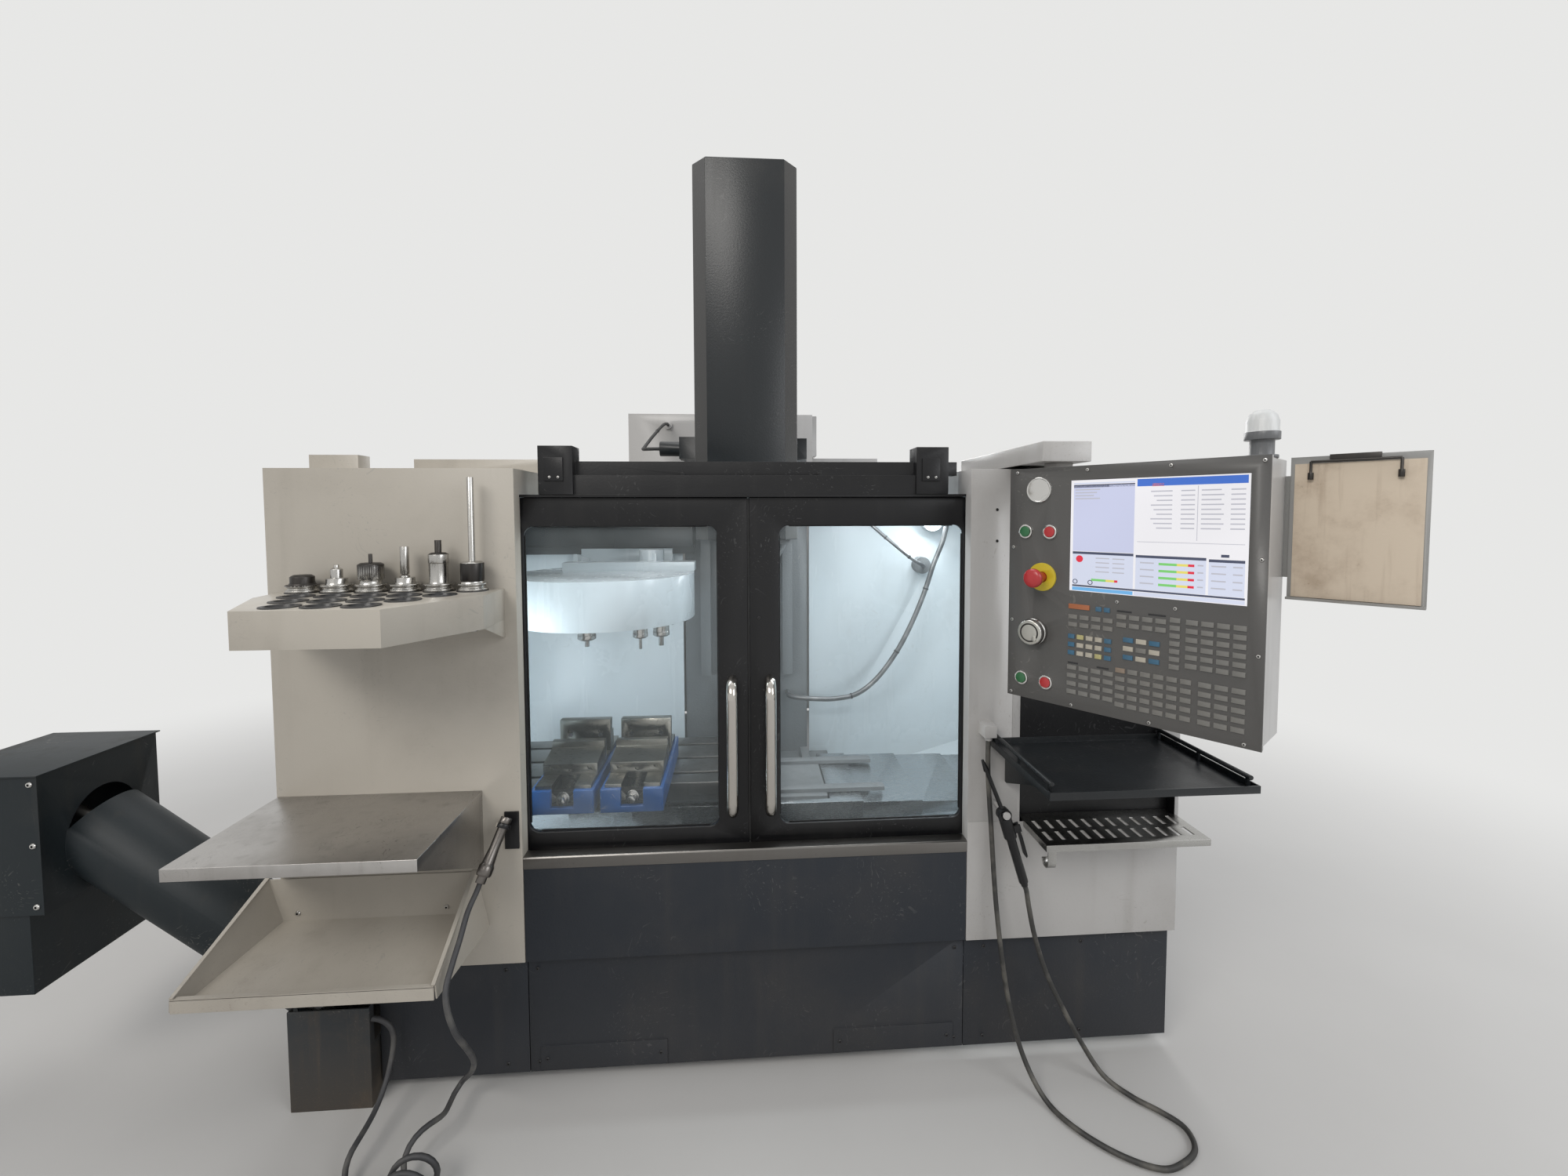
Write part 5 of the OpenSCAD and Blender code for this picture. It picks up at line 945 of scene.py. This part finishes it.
def lit_pane(name, colour):
    material = plain_material("screen " + name, tuple(c * 0.25 for c in colour), 0.15)
    tree = material.node_tree
    where = surface_place(tree)
    unevenness = shader_node(tree, "ShaderNodeTexNoise", Vector=where, Scale=6.0, Detail=1.0)
    shades = mixed(tree, unevenness.outputs["Fac"], (*[c * 0.86 for c in colour], 1), (*colour, 1))
    tree.links.new(shades, tree.nodes["Principled BSDF"].inputs["Emission Color"])
    tree.nodes["Principled BSDF"].inputs["Emission Strength"].default_value = 0.85
    return material


new_piece("screen_panes", shape, [lit_pane(name, colour) for name, colour in lit_tones], "pendant")

shape = bmesh.new()
for u, v in [(17, 8), (167, 9), (317, 9), (456, 9), (10, 171), (456, 176), (229, 271), (330, 273), (9, 333),
             (456, 340), (9, 495), (143, 496), (291, 496), (440, 496)]:
    place = on_panel(u, v)
    turned(shape, [(3.6, 0), (3.6, 0.7), (2.9, 1.8), (1.5, 2.1)], place, panel_normal, 16, 0)
    # The socket inside takes the near-black painted shade.
    turned(shape, [(1.5, 2.1), (1.4, 0.9), (0, 0.8)], place, panel_normal, 16, 1)
new_piece("panel_screws", shape, [zinc, socket_shade], "pendant")
shape = bmesh.new()
for u0, u1, v in [(229, 256, 287), (285, 315, 287), (135, 156, 405.5), (193, 216, 405.5)]:
    corners = [(u0, v), (u1, v), (u1, v + 3.5), (u0, v + 3.5)]
    low_ring = [shape.verts.new(at(*on_panel(u, v, 0.0))) for u, v in corners]
    high_ring = [shape.verts.new(at(*on_panel(u, v, 0.4))) for u, v in corners]
    shape.faces.new(high_ring)
    shape.faces.new(low_ring[::-1])
    for k in range(4):
        shape.faces.new((low_ring[k], low_ring[(k + 1) % 4], high_ring[(k + 1) % 4], high_ring[k]))
new_piece("panel_bars", shape, [black_screw], "pendant")

red_plastic = enamel("red plastic", (0.45, 0.016, 0.02), 0.3, coat=0.4, **handled)
green_plastic = enamel("green plastic", (0.01, 0.12, 0.035), 0.3, coat=0.4, **handled)
pale_plastic = enamel("frosted plastic", (0.66, 0.67, 0.66), 0.4, **handled)
grey_plastic = enamel("grey plastic", (0.13, 0.135, 0.14), 0.4, amount=0.25, low_edge=0.1, scuffed=0.2)
knob_face = bare_metal("brushed knob face", (0.50, 0.49, 0.45), 0.32, (20.0, 20.0, 1.0), amount=0.1)
for name, material in [
        ("stop_button", red_plastic), ("power_on_button", green_plastic), ("power_off_button", red_plastic),
        ("start_button", green_plastic), ("hold_button", red_plastic)]:
    coat(name, material)
    soften(name, 0.5)
coat("jog_knob", chrome, knob_face, blackened)
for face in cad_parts["jog_knob"].data.polygons:
    u, v, out = panel_place(*((face.center - ZERO) * 1000))
    if out > 23.4:
        face.material_index = 1
    elif 10.5 < out < 21:
        face.material_index = 0
soften("jog_knob", 0.8)
shape = bmesh.new()
turned(shape, [(27.2, 11), (28.2, 11.6), (28.2, 13.4), (27.2, 14), (27.2, 11)], on_panel(*jog_spot),
       panel_normal, 48)
turned(shape, [(17, 24), (18, 24.9), (19.5, 24.9), (20.5, 24)], on_panel(*jog_spot), panel_normal, 48)
new_piece("jog_rings", shape, [blackened], "jog_knob")
shape = bmesh.new()
turned(shape, [(23.5, 4), (24.5, 4.9), (26, 4.9), (27, 4)], on_panel(*badge_spot), panel_normal, 48)
new_piece("badge_ring", shape, [chrome], "pendant")

# Status beacon and sheet holder: a frosted ribbed dome on a grey base, and a steel board with
# yellowed sheets under a wire clip.
coat("beacon", pale_plastic, grey_plastic)
paint_where("beacon", 1, lambda x, y, z: z < 1555)
soften("beacon", 0.8)
paper = enamel("yellowed paper", (0.66, 0.56, 0.44), 0.8, dirt=(0.24, 0.15, 0.09), amount=0.55, scale=9.0,
               low_edge=0.1, scuffed=0.1, coat=0.0)
board = enamel("grey board", (0.30, 0.30, 0.29), 0.5, amount=0.4, low_edge=0.1)
coat("sheet_holder", board, paper, blackened)
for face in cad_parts["sheet_holder"].data.polygons:
    u, v, out = panel_place(*((face.center - ZERO) * 1000))
    back = -panel_front - out
    if back < 3.5 and 476 < u < 641 and 11.5 < v < 245.5 and back > 1.5:
        face.material_index = 1
    elif back < 1.5 and v < 42:
        face.material_index = 2
soften("sheet_holder", 0.4)

# Chip auger and rear cabinet: zinc plated bolts down the discharge head's front, pressed
# louvres in the cabinet's steel door, and screws in the cabinet's back.
head_left, head_right, edge_inset = -1840, -1585, 14
bolt_columns = (head_left + edge_inset, head_right - edge_inset)
screws("auger_bolts", [(x, -30, z) for x in bolt_columns for z in (540, 680, 820)], (0, -1, 0), 6.5, zinc,
       "frame")
shape = bmesh.new()
cabinet_back, louvre_pitch, louvre_height = 1760, 26, 6
for row in range(14):
    low = 760 + louvre_pitch * row
    bar(shape, (-230, cabinet_back - 3, low), (10, cabinet_back + 3, low + louvre_height), 1.5)
new_piece("cabinet_louvres", shape, [white_paint], "cabinet_door")
screws("cabinet_screws", [(x, cabinet_back, z) for x in (-540, 310) for z in (470, 1180, 1870)], (0, 1, 0),
       5.5, zinc, "frame")
